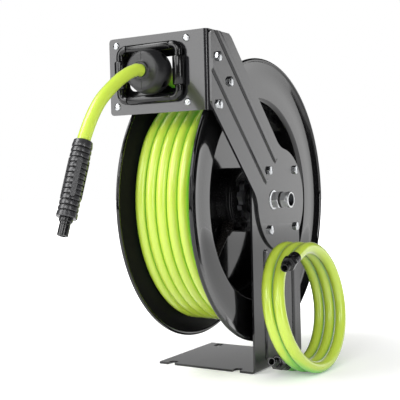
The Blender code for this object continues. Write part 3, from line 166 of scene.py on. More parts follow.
@dataclass(frozen=True)
class Finish:
    """One finish: what it is made of and how its surface was made.

    Attributes:
        name: Material name.
        slot: The record's material slot.
        colour: Main colour, sRGB hex.
        second: The colour it drifts to over the surface.
        roughness: Lowest and highest roughness.
        texture: Kind of relief.
        size: Width of one grain, in metres.
        depth: Height of the relief, in metres.
        metallic: 1 for bare metal.
        coat: Weight of a clear top coat.
        coat_roughness: Roughness of that coat.
        ior: Index of refraction.
        subsurface: Share of the light that goes through.
        painted_shade: Painted shade: the deeper colour that ambient occlusion mixes in where neighbours lie
            close, sRGB hex.
    """

    name: str
    slot: str
    colour: str
    second: str
    roughness: Point2
    texture: Texture
    size: float
    depth: float
    metallic: float = 0.0
    coat: float = 0.0
    coat_roughness: float = 0.05
    ior: float = 1.5
    subsurface: float = 0.0
    painted_shade: str = ""

    def material(self) -> bpy.types.Material:
        """Build the material once, and hand back the same one after that.

        Returns:
            The material.
        """
        known = bpy.data.materials.get(self.name)
        if known:
            return known
        mat, shader = start_material(self.name, Metallic=self.metallic, IOR=self.ior, Coat_Weight=self.coat,
                                     Coat_Roughness=self.coat_roughness, Subsurface_Weight=self.subsurface)
        if self.subsurface:
            shader.inputs["Subsurface Radius"].default_value = (0.004, 0.005, 0.001)
        tree = mat.node_tree
        where = add(tree, "TexCoord").outputs["Object"]
        drift = add(tree, "TexNoise", {"Vector": where, "Scale": 22.0, "Detail": 3.0})
        colour = add(tree, "MixRGB", {"Fac": drift.outputs["Fac"], "Color1": linear(self.colour),
                                      "Color2": linear(self.second)})
        # Painted shade: ambient occlusion mixes the deeper colour in where the hose lies close to its
        # neighbours, the flanges and the bracket
        if self.painted_shade:
            near = add(tree, "AmbientOcclusion", {"Distance": 0.08}, samples=8)
            free = add(tree, "MapRange", {"Value": near.outputs["AO"], "From Min": 0.08, "From Max": 0.5})
            colour = add(tree, "MixRGB", {"Fac": free.outputs["Result"], "Color1": linear(self.painted_shade),
                                          "Color2": colour.outputs["Color"]})
        tree.links.new(colour.outputs["Color"], shader.inputs["Base Color"])
        relief = self.relief(tree, where)
        rough = add(tree, "MapRange", {"Value": relief, "From Min": 0.3, "From Max": 0.7,
                                       "To Min": self.roughness[0], "To Max": self.roughness[1]})
        tree.links.new(rough.outputs["Result"], shader.inputs["Roughness"])
        if self.depth:
            bump = add(tree, "Bump", {"Height": relief, "Strength": 0.6, "Distance": self.depth})
            tree.links.new(bump.outputs["Normal"], shader.inputs["Normal"])
        return mat

    def relief(self, tree: bpy.types.NodeTree, where: bpy.types.NodeSocket) -> bpy.types.NodeSocket:
        """Draw the height pattern of this finish.

        Args:
            tree: The material's node tree.
            where: Object coordinates.

        Returns:
            The socket that carries the height, from 0 to 1.
        """
        scale = 1.0 / self.size
        if self.texture is Texture.DRAWN:
            where = add(tree, "Mapping", {"Vector": where, "Scale": (0.04, 1.0, 1.0)}).outputs["Vector"]
        if self.texture is Texture.GRAIN:
            cells = add(tree, "TexVoronoi", {"Vector": where, "Scale": scale}, feature="SMOOTH_F1")
            return cells.outputs["Distance"]
        detail = {Texture.PEEL: 1.0, Texture.PLATED: 6.0}.get(self.texture, 4.0)
        return add(tree, "TexNoise", {"Vector": where, "Scale": scale, "Detail": detail}).outputs["Fac"]


# Stoved enamel on pressed steel: dark, wet-looking, with a faint orange peel of about 3 mm
FRAME_ENAMEL = Finish("graphite_enamel", "frame_paint", "#1A1A1C", "#202022", (0.14, 0.20),
                      Texture.PEEL, 0.0030, 0.000006, coat=0.45, coat_roughness=0.04)
# The same enamel in black on the spun drum, with a deeper gloss
DRUM_ENAMEL = Finish("black_enamel", "drum_paint", "#0B0B0C", "#101011", (0.06, 0.10),
                     Texture.PEEL, 0.0035, 0.000006, coat=0.45, coat_roughness=0.02)
# Thinner enamel on the drum's inner faces, where the hose rubs it dull
WORN_ENAMEL = Finish("worn_enamel", "drum_paint", "#0F0F10", "#141415", (0.34, 0.46),
                     Texture.PEEL, 0.0030, 0.00001, ior=1.15)
# Bright zinc plate on machined steel: bluish white with soft mirror spots
ZINC_PLATE = Finish("bright_zinc", "zinc", "#E0E2E4", "#D0D3D6", (0.20, 0.32),
                    Texture.PLATED, 0.0040, 0.000012, metallic=1.0)
# Turned and tumbled zinc on the inlet and its nut, with a pale bloom that lights up from every side
SATIN_ZINC = Finish("satin_zinc", "zinc", "#F0F1F2", "#DCDEE0", (0.30, 0.42),
                    Texture.PLATED, 0.0040, 0.000012, metallic=0.9)
# Zinc inside a bore: dull, and dark as painted shade
BORE_ZINC_SHADE = Finish("bore_zinc_shade", "zinc", "#46484B", "#36383B", (0.35, 0.50),
                   Texture.PLATED, 0.0030, 0.000012, metallic=1.0)
# Bare cold-rolled steel, faint drawing lines along X
PLAIN_STEEL = Finish("plain_steel", "steel", "#A9ABAD", "#94969A", (0.30, 0.45),
                     Texture.DRAWN, 0.0008, 0.00001, metallic=1.0)
# Blued spring strip: slate blue with the same lines
SPRING_STRIP = Finish("blued_spring_steel", "spring_steel", "#4C5566", "#3D4657", (0.28, 0.42),
                      Texture.DRAWN, 0.0010, 0.00001, metallic=1.0)
# Sintered bronze, dull and slightly open-grained
SINTERED_BRONZE = Finish("sintered_bronze", "bronze", "#9C7B4A", "#866A40", (0.42, 0.58),
                         Texture.GRAIN, 0.0007, 0.00002, metallic=1.0)
# Turned brass pipework, painted black with the drum
BLACKED_BRASS = Finish("blacked_brass", "black_metal", "#100F0E", "#181614", (0.22, 0.32),
                       Texture.PLATED, 0.0020, 0.00001, ior=1.55)
# Moulded glass-filled nylon: black, fine eroded texture drawn at 0.9 mm so that it shows
MOULDED_NYLON = Finish("moulded_nylon", "black_plastic", "#0B0B0C", "#101011", (0.14, 0.24),
                       Texture.GRAIN, 0.0009, 0.00001, ior=1.53)
# Moulded rubber of the ball stop: charcoal, matt, with a soft bloom
BALL_RUBBER = Finish("moulded_rubber", "rubber", "#1A1A1B", "#1F1F21", (0.34, 0.46),
                     Texture.GRAIN, 0.0010, 0.00002, ior=1.52)
# Nitrile rubber, black and smooth, for the inlet's seal; on the ball stop's recesses it is painted shade
SEAL_RUBBER_AND_RECESS_SHADE = Finish("seal_rubber_and_recess_shade", "rubber", "#0C0C0D", "#121213", (0.30, 0.42),
                     Texture.EXTRUDED, 0.0010, 0.000005)
# Grip rubber, smooth and slightly shinier than the stop
GRIP_RUBBER = Finish("grip_rubber", "black_plastic", "#2B2B2D", "#323234", (0.28, 0.34),
                     Texture.EXTRUDED, 0.0030, 0.0, coat=0.45, coat_roughness=0.24, ior=1.6)
# The same rubber down in its grooves: duller, and darker as painted shade
GRIP_GROOVE_SHADE = Finish("grip_groove_shade", "black_plastic", "#060607", "#0A0A0B", (0.50, 0.60),
                     Texture.EXTRUDED, 0.0030, 0.0, ior=1.4)
# Extruded hybrid polymer hose: lime, satin, lets a little light through, with painted shade in deeper green
# where neighbours lie close
LIME_HOSE = Finish("lime_hose", "hose", "#BED640", "#C4DC4A", (0.30, 0.38), Texture.EXTRUDED, 0.0012,
                   0.000006, coat=1.0, coat_roughness=0.26, ior=1.55, subsurface=0.12, painted_shade="#66CC40")
# Black phosphate on turned steel: near black with a low oily sheen
BLACK_PHOSPHATE = Finish("black_phosphate", "black_metal", "#0E0E0F", "#151516", (0.18, 0.30),
                         Texture.PLATED, 0.0015, 0.00001, ior=1.55)
# Bright hardware and small black parts that the enamel round them doesn't mirror
CLEAR_OF_GLOSS = (ZINC_PLATE, SATIN_ZINC, SEAL_RUBBER_AND_RECESS_SHADE, PLAIN_STEEL)


def arc(centre: Point2, radius: float, start: float, end: float, count: int) -> list[Point2]:
    """Points on an arc in a plane, both ends included.

    Args:
        centre: Middle of the arc.
        radius: Its radius.
        start: First angle in degrees.
        end: Last angle in degrees.
        count: Number of points.

    Returns:
        The points in order.
    """
    angles = [math.radians(start + (end - start) * i / (count - 1)) for i in range(count)]
    return [(centre[0] + radius * math.cos(a), centre[1] + radius * math.sin(a)) for a in angles]


def rounded_box(centre: Point2, width: float, height: float, radius: float, count: int) -> list[Point2]:
    """Outline of a rectangle with round corners.

    Args:
        centre: Its middle.
        width: Its width.
        height: Its height.
        radius: Radius of the corners.
        count: Points on each corner.

    Returns:
        The outline.
    """
    dx, dy = width / 2 - radius, height / 2 - radius
    out: list[Point2] = []
    for i, (sx, sy) in enumerate(((1, 1), (-1, 1), (-1, -1), (1, -1))):
        out += arc((centre[0] + sx * dx, centre[1] + sy * dy), radius, 90 * i, 90 * i + 90, count)
    return out


def eased(points: Sequence[tuple[float, ...]], steps: int = 4) -> list[Point2]:
    """Round the corners of a closed outline.

    Args:
        points: Corners as (a, b) or (a, b, reach), where reach is how far the rounding runs.
        steps: Points on each rounding.

    Returns:
        The outline with its corners rounded.
    """
    out: list[Point2] = []
    for i, corner in enumerate(points):
        here = Vector(corner[:2])
        if len(corner) < 3:
            out.append(tuple(here))
            continue
        before = Vector(points[i - 1][:2]) - here
        after = Vector(points[(i + 1) % len(points)][:2]) - here
        first = here + before.normalized() * min(corner[2], before.length * 0.49)
        last = here + after.normalized() * min(corner[2], after.length * 0.49)
        for t in (j / steps for j in range(steps + 1)):
            out.append(tuple(first * (1 - t) ** 2 + here * 2 * t * (1 - t) + last * t ** 2))
    return out


def angle_sheet(left: float, base: float, bend: float, tip: float) -> list[Point2]:
    """Section of a sheet that runs right from its left edge and bends up into the post's plane.

    Args:
        left: Its left edge.
        base: Level of its outer face.
        bend: Outer radius of the bend.
        tip: Where the upright leg ends.

    Returns:
        The section's outline.
    """
    corner = (POST_OUT_X - bend, base + bend)
    return [(left, base), *arc(corner, bend, -90, 0, 14), (POST_OUT_X, tip), (POST_IN_X, tip),
            *arc(corner, bend - SHEET, 0, -90, 14), (left, base + SHEET)]


def polar(radius: float, angle: float) -> Point2:
    """Y and Z offsets from the axle at an angle in radians from +Y towards +Z."""
    return radius * math.cos(angle), radius * math.sin(angle)


def at(x: float = 0.0, y: float = 0.0, z: float = 0.0) -> Matrix:
    """A matrix that moves to a place."""
    return Matrix.Translation((x, y, z))


def spun(angle: float, axis: str = "Z") -> Matrix:
    """A matrix that turns by an angle in radians."""
    return Matrix.Rotation(angle, 4, axis)


def turn_to(direction: Iterable[float], place: Iterable[float]) -> Matrix:
    """A matrix that lays local Z along a direction at a place."""
    return at(*place) @ Vector(direction).normalized().to_track_quat("Z", "Y").to_matrix().to_4x4()


def along_x(x: float = 0.0, y: float = 0.0, z: float = AXLE_Z) -> Matrix:
    """A matrix that lays local Z along world X at a place."""
    return at(x, y, z) @ FACE_X


def linked(name: str, data: bpy.types.ID) -> bpy.types.Object:
    """Put a mesh, curve, camera or lamp into the scene."""
    obj = bpy.data.objects.new(name, data)
    bpy.context.scene.collection.objects.link(obj)
    return obj


AIR_PIPE = turn_to((0.0, *polar(1.0, math.radians(225))), (0.0155, 0.0, AXLE_Z))


class Form:
    """A shape in the making."""

    def __init__(self) -> None:
        """Start with nothing."""
        self.bm = bmesh.new()

    def wire(self, points: Iterable[Iterable[float]], closed: bool = True) -> list[bmesh.types.BMEdge]:
        """Draw a chain of points.

        Args:
            points: Its points.
            closed: True to join the last to the first.

        Returns:
            Its edges.
        """
        verts = [self.bm.verts.new(p) for p in points]
        pairs = zip([verts[-1], *verts[:-1]], verts) if closed else zip(verts, verts[1:])
        return [self.bm.edges.new(pair) for pair in pairs]

    def outwards(self) -> Form:
        """Turn every face outwards."""
        bmesh.ops.recalc_face_normals(self.bm, faces=self.bm.faces[:])
        return self

    def capped(self) -> Form:
        """Fill what is open."""
        bmesh.ops.holes_fill(self.bm, edges=[e for e in self.bm.edges if e.is_boundary], sides=0)
        return self

    def skinned(self, rings: Sequence[list[bmesh.types.BMEdge]]) -> Form:
        """Skin a row of rings and close both ends."""
        for near, far in zip(rings, rings[1:]):
            bmesh.ops.bridge_loops(self.bm, edges=near + far)
        return self.capped().outwards()

    def lift(self, grown: dict, height: float) -> None:
        """Raise what an extrusion has grown."""
        lifted = [v for v in grown["geom"] if isinstance(v, bmesh.types.BMVert)]
        bmesh.ops.translate(self.bm, verts=lifted, vec=(0, 0, height))

    @classmethod
    def lathe(cls, profile: Sequence[Point2], steps: int, half_turn: bool = False) -> Form:
        """Turn a closed profile of (height, radius) points round local Z.

        Args:
            profile: The profile's corners.
            steps: Facets in the whole sweep.
            half_turn: True to stop half way round.

        Returns:
            The turned solid.
        """
        form = cls()
        bm = form.bm
        form.wire((r, 0.0, h) for h, r in profile)
        bmesh.ops.spin(bm, geom=[*bm.verts, *bm.edges], cent=(0, 0, 0), axis=(0, 0, 1), dvec=(0, 0, 0),
                       angle=math.radians(180.0 if half_turn else 360.0), steps=steps,
                       use_merge=not half_turn, use_duplicate=False)
        bmesh.ops.remove_doubles(bm, verts=bm.verts[:], dist=1e-6)
        bmesh.ops.dissolve_degenerate(bm, edges=bm.edges[:], dist=1e-7)
        return (form.capped() if half_turn else form).outwards()

    @classmethod
    def cylinder(cls, low: float, high: float, radius: float, steps: int) -> Form:
        """A cylinder from one height to another."""
        return cls.lathe([(low, 0.0), (low, radius), (high, radius), (high, 0.0)], steps)

    @classmethod
    def plate(cls, outline: Sequence[Point2], thickness: float,
              holes: Sequence[Sequence[Point2]] = ()) -> Form:
        """Cut a flat plate from local z = 0 up to its thickness.

        Args:
            outline: The plate's edge.
            thickness: How thick it is.
            holes: Outlines of the holes in it.

        Returns:
            The plate.
        """
        form = cls()
        rim = [e for loop in (outline, *holes) for e in form.wire((x, y, 0.0) for x, y in loop)]
        if holes:
            bmesh.ops.triangle_fill(form.bm, use_beauty=True, use_dissolve=False, edges=rim)
        else:
            bmesh.ops.contextual_create(form.bm, geom=rim)
        form.lift(bmesh.ops.extrude_face_region(form.bm, geom=form.bm.faces[:]), thickness)
        return form.outwards()

    @classmethod
    def loft(cls, sections: Sequence[tuple[float, Sequence[Point2]]]) -> Form:
        """Skin a row of closed outlines that stand across local Y.

        Args:
            sections: Place along Y, and the outline in local X and Z, all with as many points.

        Returns:
            The closed skin.
        """
        form = cls()
        return form.skinned([form.wire((x, along, z) for x, z in outline) for along, outline in sections])

    @classmethod
    def rod(cls, path: Sequence[Point3], radius: float, sides: int = 24) -> Form:
        """A round rod along a path that lies in an XZ plane.

        Args:
            path: Points of its centre line.
            radius: Its radius.
            sides: Facets round it.

        Returns:
            The closed rod.
        """
        form = cls()
        points = [Vector(p) for p in path]
        out = Vector((0.0, 1.0, 0.0))
        angles = [2 * math.pi * i / sides for i in range(sides)]
        rings = []
        for i, point in enumerate(points):
            way = (points[min(i + 1, len(points) - 1)] - points[max(i - 1, 0)]).normalized()
            aside = way.cross(out)
            rings.append(form.wire(point + radius * (math.cos(a) * aside + math.sin(a) * out)
                                   for a in angles))
        return form.skinned(rings)

    @classmethod
    def hexagon(cls, flats: float, height: float, both: bool = False) -> Form:
        """A hexagon on local z = 0 with its corners turned off at the top, or at both ends.

        Args:
            flats: Size across the flats.
            height: Its height.
            both: True for a nut, chamfered below too.

        Returns:
            The hexagon.
        """
        form = cls()
        corner = flats / math.sqrt(3)
        bmesh.ops.create_cone(form.bm, cap_ends=True, segments=6, radius1=corner, radius2=corner,
                              depth=height, matrix=at(z=height / 2) @ spun(math.pi / 6))
        crown = flats / 2 * 0.93
        fall = (corner - crown) * 0.55
        wide = corner * 1.05
        dome = cls.lathe([(0.0, 0.0), (0.0, crown if both else wide), (fall if both else 0.0, wide),
                          (height - fall, wide), (height, crown), (height, 0.0)], 48)
        return form.combined([dome], "INTERSECT")

    def moved(self, matrix: Matrix) -> Form:
        """Transform the whole shape and hand it back."""
        bmesh.ops.transform(self.bm, matrix=matrix, verts=self.bm.verts[:])
        return self

    def joined(self, other: Form) -> Form:
        """Take another shape's faces in as a separate shell."""
        spare = bpy.data.meshes.new("spare")
        other.bm.to_mesh(spare)
        other.bm.free()
        self.bm.from_mesh(spare)
        bpy.data.meshes.remove(spare)
        return self

    def combined(self, others: Sequence[Form], operation: str) -> Form:
        """Cut, fuse or intersect with other shapes.

        Args:
            others: The other shapes, which are used up.
            operation: DIFFERENCE, UNION or INTERSECT.

        Returns:
            This shape, changed.
        """
        body = self.to_object("combining")
        helpers = [other.to_object("helper") for other in others]
        for helper in helpers:
            modifier = body.modifiers.new("combine", "BOOLEAN")
            modifier.operation = operation
            modifier.solver = "EXACT"
            modifier.object = helper
        graph = bpy.context.evaluated_depsgraph_get()
        result = bpy.data.meshes.new_from_object(body.evaluated_get(graph))
        self.bm = bmesh.new()
        self.bm.from_mesh(result)
        bmesh.ops.remove_doubles(self.bm, verts=self.bm.verts[:], dist=2e-7)
        for item in (body, *helpers):
            old = item.data
            bpy.data.objects.remove(item)
            bpy.data.meshes.remove(old)
        bpy.data.meshes.remove(result)
        return self

    def cut(self, *others: Form) -> Form:
        """Cut other shapes out of this one."""
        return self.combined(others, "DIFFERENCE")

    def patched(self, belongs: Callable[[bmesh.types.BMFace], bool]) -> Form:
        """Give the faces that pass a test the piece's second finish."""
        for face in self.bm.faces:
            face.material_index = int(belongs(face))
        return self

    def patched_within(self, radius: float) -> Form:
        """Give the faces within a radius round local Z the piece's second finish."""
        return self.patched(lambda face: all(math.hypot(v.co.x, v.co.y) < radius for v in face.verts))

    def to_object(self, name: str) -> bpy.types.Object:
        """Put the shape into the scene as an object at the origin."""
        mesh = bpy.data.meshes.new(name)
        self.bm.to_mesh(mesh)
        self.bm.free()
        return linked(name, mesh)


def drill(x: float, y: float, z: float, radius: float, length: float) -> Form:
    """A round cutter that runs from x towards +X."""
    return Form.cylinder(0.0, length, radius, 32).moved(along_x(x, y, z))


def weld_nuts(places: Iterable[Point2], height: float) -> list[Form]:
    """Nuts welded on a sheet's inner face, reaching half way into the sheet.

    Args:
        places: Their middles, as (y, z).
        height: How far they stand in from the sheet.

    Returns:
        The nuts.
    """
    whole = height + SHEET / 2
    return [Form.hexagon(0.0125, whole).moved(along_x(POST_IN_X - height, y, z) @ at(z=whole)
                                              @ spun(math.pi, "X")) for y, z in places]


def pressed_ridge(length: float, open_end: bool) -> Form:
    """A flat-topped ridge along local +Y, pressed out of a sheet at local z = 0.

    Args:
        length: Its length.
        open_end: True where the far end is cut off by the sheet's edge.

    Returns:
        The ridge, sunk a little into the sheet.
    """
    half, height, sunk, nose = 0.0052, 0.0023, 0.0012, 0.006
    flank = ((0.0, 0.0), (0.0005, 0.12), (0.0010, 0.50), (0.0015, 0.88), (0.0022, 1.0))

    def outline(scale: float) -> list[Point2]:
        """One cross section of the ridge."""
        right = [(half - inward, height * scale * rise) for inward, rise in flank]
        return right + [(-x, z) for x, z in reversed(right)] + [(-half, -sunk), (half, -sunk)]

    steps = [(nose * t, math.sin(t * math.pi / 2)) for t in (0.0, 0.2, 0.45, 0.7, 1.0)]
    sections = [(s, outline(k)) for s, k in steps]
    if open_end:
        sections.append((length, outline(1.0)))
    else:
        sections += [(length - s, outline(k)) for s, k in reversed(steps)]
    return Form.loft(sections)


def hose_tube(name: str, points: Sequence[Point3]) -> bpy.types.Object:
    """A hose along a chain of points, as a curve of one open spline.

    Args:
        name: Name of the object.
        points: Its centre line.

    Returns:
        The curve's object.
    """
    curve = bpy.data.curves.new(name, "CURVE")
    curve.dimensions = "3D"
    curve.bevel_depth = HOSE_R
    curve.bevel_resolution = 8
    curve.use_fill_caps = True
    spline = curve.splines.new("POLY")
    spline.points.add(len(points) - 1)
    for item, point in zip(spline.points, points):
        item.co = (*point, 1.0)
    spline.use_smooth = True
    return linked(name, curve)


def smooth_route(points: Sequence[Point3], spacing: float = 0.004) -> list[Point3]:
    """Read evenly spaced points from a smooth curve through a route.

    Args:
        points: Points that the curve passes through.
        spacing: Distance between the points read.

    Returns:
        The points read.
    """
    route = [Vector(p) for p in points]
    padded = [2 * route[0] - route[1], *route, 2 * route[-1] - route[-2]]
    fine: list[Vector] = []
    for a, b, c, d in zip(padded, padded[1:], padded[2:], padded[3:]):
        for t in (i / 24 for i in range(24)):
            fine.append(0.5 * (2 * b + (c - a) * t + (2 * a - 5 * b + 4 * c - d) * t ** 2
                               + (3 * b - a - 3 * c + d) * t ** 3))
    fine.append(route[-1])
    out = [fine[0]]
    run = 0.0
    for before, here in zip(fine, fine[1:]):
        run += (here - before).length
        if run >= spacing:
            out.append(here)
            run = 0.0
    if (out[-1] - fine[-1]).length < spacing * 0.5:
        out.pop()
    out.append(fine[-1])
    return [tuple(p) for p in out]


@dataclass
class Bench:
    """Where finished shapes become pieces of the reel."""

    frame: dict
    made: int = 0

    def piece(self, node: str, shape: Form | bpy.types.Object, finish: Finish, body: str = "frame", *,
              nodes: Sequence[str] = (), patch: Finish | None = None, bevel: float = 0.0,
              weighted: bool = False) -> bpy.types.Object:
        """Finish a piece, fix it to a body and let it stand for its solids.

        Args:
            node: The solid that it replaces, which also names it.
            shape: Its form, or a tube that is an object already.
            finish: Its finish.
            body: The body that it rides on.
            nodes: The solids that it replaces, where they aren't that one.
            patch: Finish of the faces that the form has marked.
            bevel: Width of the edge rounding, in metres.
            weighted: True where large flat faces must stay flat to the eye.

        Returns:
            The finished object.
        """
        obj = shape.to_object(node + "_look") if isinstance(shape, Form) else shape
        for layer in (finish, patch):
            if layer:
                obj.data.materials.append(layer.material())
        if obj.type == "MESH":
            obj.data.shade_smooth()
            obj.data.set_sharp_from_angle(angle=SHARP)
            if bevel:
                edge = obj.modifiers.new("edge", "BEVEL")
                edge.width = bevel
                edge.segments = 2
                edge.limit_method = "ANGLE"
                edge.angle_limit = SHARP
                edge.use_clamp_overlap = True
                edge.harden_normals = True
            if weighted:
                flat = obj.modifiers.new("flat", "WEIGHTED_NORMAL")
                flat.keep_sharp = True
                flat.weight = 100
        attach(obj, body)
        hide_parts(*(nodes or (node,)))
        obj.visible_glossy = finish not in CLEAR_OF_GLOSS
        self.made += 1
        return obj

    def dress(self, finish: Finish, *nodes: str) -> None:
        """Give solids that are shown as they are a full finish."""
        for obj in (self.frame["nodes"][node] for node in nodes):
            obj.visible_glossy = finish not in CLEAR_OF_GLOSS
            for slot in obj.material_slots:
                slot.material = finish.material()


@dataclass(frozen=True)
class PanScrew:
    """A pan-head screw with a cross recess, along local Z."""

    radius: float
    height: float
    cross: float
    shank_r: float
    length: float

    def form(self) -> Form:
        """Turn the head, cut its cross and set it on the shank.

        Returns:
            The screw, its head just above local z = 0.
        """
        r, h = self.radius, self.height
        head = Form.lathe([(0.0, 0.0), (0.0, r), (h * 0.42, r), (h * 0.68, r * 0.93), (h * 0.88, r * 0.72),
                           (h * 0.98, r * 0.4), (h, 0.0)], 32)
        reach, thin = self.cross / 2, self.cross * 0.11
        bar = [(-reach, -thin), (reach, -thin), (reach, thin), (-reach, thin)]
        arms = [Form.plate(bar, h).moved(at(z=h * 0.42) @ spun(a)) for a in (0.0, math.pi / 2)]
        return head.cut(*arms).moved(at(z=GAP)).joined(Form.cylinder(-self.length, GAP, self.shank_r, 20))


@dataclass
class SubAssembly:
    """A group of pieces that is made together."""

    bench: Bench


@dataclass
class Fasteners(SubAssembly):
    """The hexagon bolts of the arm and the guide."""

    flats: float = 0.0111
    head: float = 0.0066
    shank_r: float = 0.0031
    point: float = 0.0008

    def build(self) -> None:
        """Make every bolt, each turned a little differently, as fitted by hand."""
        spots = [(f"arm_bolt_{i + 1}", p, 0.005) for i, p in enumerate(ARM_BOLTS)]
        spots += [(f"guide_bolt_{i + 1}", p, 0.003) for i, p in enumerate(GUIDE_BOLTS)]
        for i, (name, (y, z), inside) in enumerate(spots):
            length = SHEET * 2 + GAP + inside
            shank = Form.lathe([(-length, 0.0), (-length, self.shank_r * 0.8),
                                (-length + self.point, self.shank_r), (GAP, self.shank_r), (GAP, 0.0)], 24)
            bolt = Form.hexagon(self.flats, self.head).moved(at(z=GAP)).joined(shank)
            self.bench.piece(name, bolt.moved(along_x(ARM_OUT_X, y, z) @ spun(0.35 * i)), ZINC_PLATE,
                             bevel=0.0002)


@dataclass
class Stand(SubAssembly):
    """The bent sheet that is base plate and post in one."""

    left: float = -0.091
    front: float = -0.057
    back: float = 0.091
    bend: float = 0.006
    top_r: float = 0.074
    ribs: tuple[Point2, ...] = ((-0.020, 0.167), (0.069, 0.142))
    rib_foot: float = 0.012
    slot_x: Point2 = (-0.071, 0.035)
    slot_r: float = 0.0058
    mouth: float = 0.013
    rear_slot: Point2 = (0.075, 0.081)

    def build(self) -> None:
        """Bend, trim, pierce and press the sheet."""
        width = self.back - self.front
        section = angle_sheet(self.left, 0.0, self.bend, AXLE_Z + self.top_r)
        sheet = Form.plate(section, width).moved(at(y=self.back) @ FACE_FRONT)
        crown = arc(((self.back + self.front) / 2, AXLE_Z), width / 2, 0, 180, 56)
        keeper = Form.plate([(self.front, -0.02), (self.back, -0.02), *crown], 0.4)
        sheet = sheet.combined([keeper.moved(at(x=-0.2) @ FACE_X)], "INTERSECT").cut(*self.slots())
        ridges = [pressed_ridge(top - self.rib_foot, False).moved(along_x(POST_OUT_X, y, self.rib_foot))
                  for y, top in self.ribs]
        sheet = sheet.combined(ridges, "UNION").combined(weld_nuts(ARM_BOLTS, 0.005), "UNION")
        holes = [drill(POST_IN_X - 0.02, y, z, BOLT_HOLE_R, 0.04) for y, z in ARM_BOLTS]
        sheet = sheet.cut(*holes, drill(POST_IN_X - 0.01, 0, AXLE_Z, AXLE_BORE, 0.02))
        self.bench.piece("stand", sheet, FRAME_ENAMEL, bevel=0.0005, weighted=True)

    def slots(self) -> list[Form]:
        """Cutters for the open slots in front and the closed ones behind.

        Returns:
            The four cutters.
        """
        r, before, deep = self.slot_r, self.front - 0.01, self.front + self.mouth
        near, far = self.rear_slot
        cutters = []
        for x in self.slot_x:
            mouth = eased([(x - r, before), (x - r, deep, r), (x + r, deep, r), (x + r, before)], 8)
            closed = arc((x, far), r, 0, 180, 14) + arc((x, near), r, 180, 360, 14)
            cutters += [Form.plate(shape, 0.02).moved(at(z=-0.01)) for shape in (mouth, closed)]
        return cutters


@dataclass
class GuideArm(SubAssembly):
    """The flat arm outside the post that carries the hose guide."""

    end_y: float = 0.0275
    end_z: float = -0.001
    end_r: float = 0.073
    half: float = 0.050
    slope: float = math.radians(44)
    fillet: float = 0.040
    corner: float = 0.006
    top: float = 0.2155
    front: float = -0.161
    ridges: Point2 = (-0.0145, 0.0265)
    ridge_start: float = 0.049

    def axes(self) -> tuple[Vector, Vector, Vector]:
        """Middle of the round end, the way along the arm and the way across it, in (y, height)."""
        sine, cosine = math.sin(self.slope), math.cos(self.slope)
        return Vector((self.end_y, self.end_z)), Vector((-sine, cosine)), Vector((cosine, sine))

    def outline(self) -> list[Point2]:
        """Draw the arm's edge.

        Returns:
            The edge in (y, height above the axle).
        """
        centre, along, across = self.axes()
        wide = self.half + self.fillet
        reach = math.sqrt((self.end_r + self.fillet) ** 2 - wide ** 2)
        touch = math.degrees(math.atan2(wide, reach))
        lean = math.degrees(math.atan2(along.y, along.x))
        upper = centre + along * reach + across * wide
        lower = centre + along * reach - across * wide
        high = centre + across * self.half
        low = centre - across * self.half
        top = high + along * ((self.top - high.y) / along.y)
        foot = low + along * ((self.front - low.x) / along.x)
        corners = [tuple(high), (*top, self.corner), (self.front, self.top, self.corner),
                   (*foot, self.corner), tuple(low)]
        loop = eased(corners, 6)[1:-1]
        loop += arc(tuple(lower), self.fillet, lean - 90, lean + touch - 180, 16)
        loop += arc(tuple(centre), self.end_r, lean + touch, lean - touch + 360, 96)[1:-1]
        return loop + arc(tuple(upper), self.fillet, lean - touch + 180, lean + 90, 16)

    def build(self) -> None:
        """Cut the plate, press its ridges and drill it."""
        outline = self.outline()
        centre, along, across = self.axes()
        starts = [centre + across * offset + along * self.ridge_start for offset in self.ridges]
        first, second = (pressed_ridge(0.4, True).moved(along_x(ARM_OUT_X, start.x, AXLE_Z + start.y)
                                                        @ spun(self.slope)) for start in starts)
        trim = Form.plate(outline, SHEET * 4).moved(along_x(ARM_IN_X - SHEET))
        pressed = first.joined(second).combined([trim], "INTERSECT")
        plate = Form.plate(outline, SHEET).moved(along_x(ARM_IN_X)).combined([pressed], "UNION")
        holes = [drill(ARM_IN_X - 0.01, y, z, BOLT_HOLE_R, 0.03) for y, z in (*ARM_BOLTS, *GUIDE_BOLTS)]
        plate = plate.cut(*holes, drill(ARM_IN_X - 0.01, 0, AXLE_Z, AXLE_BORE, 0.03))
        self.bench.piece("guide_arm", plate, FRAME_ENAMEL, bevel=0.0005, weighted=True)


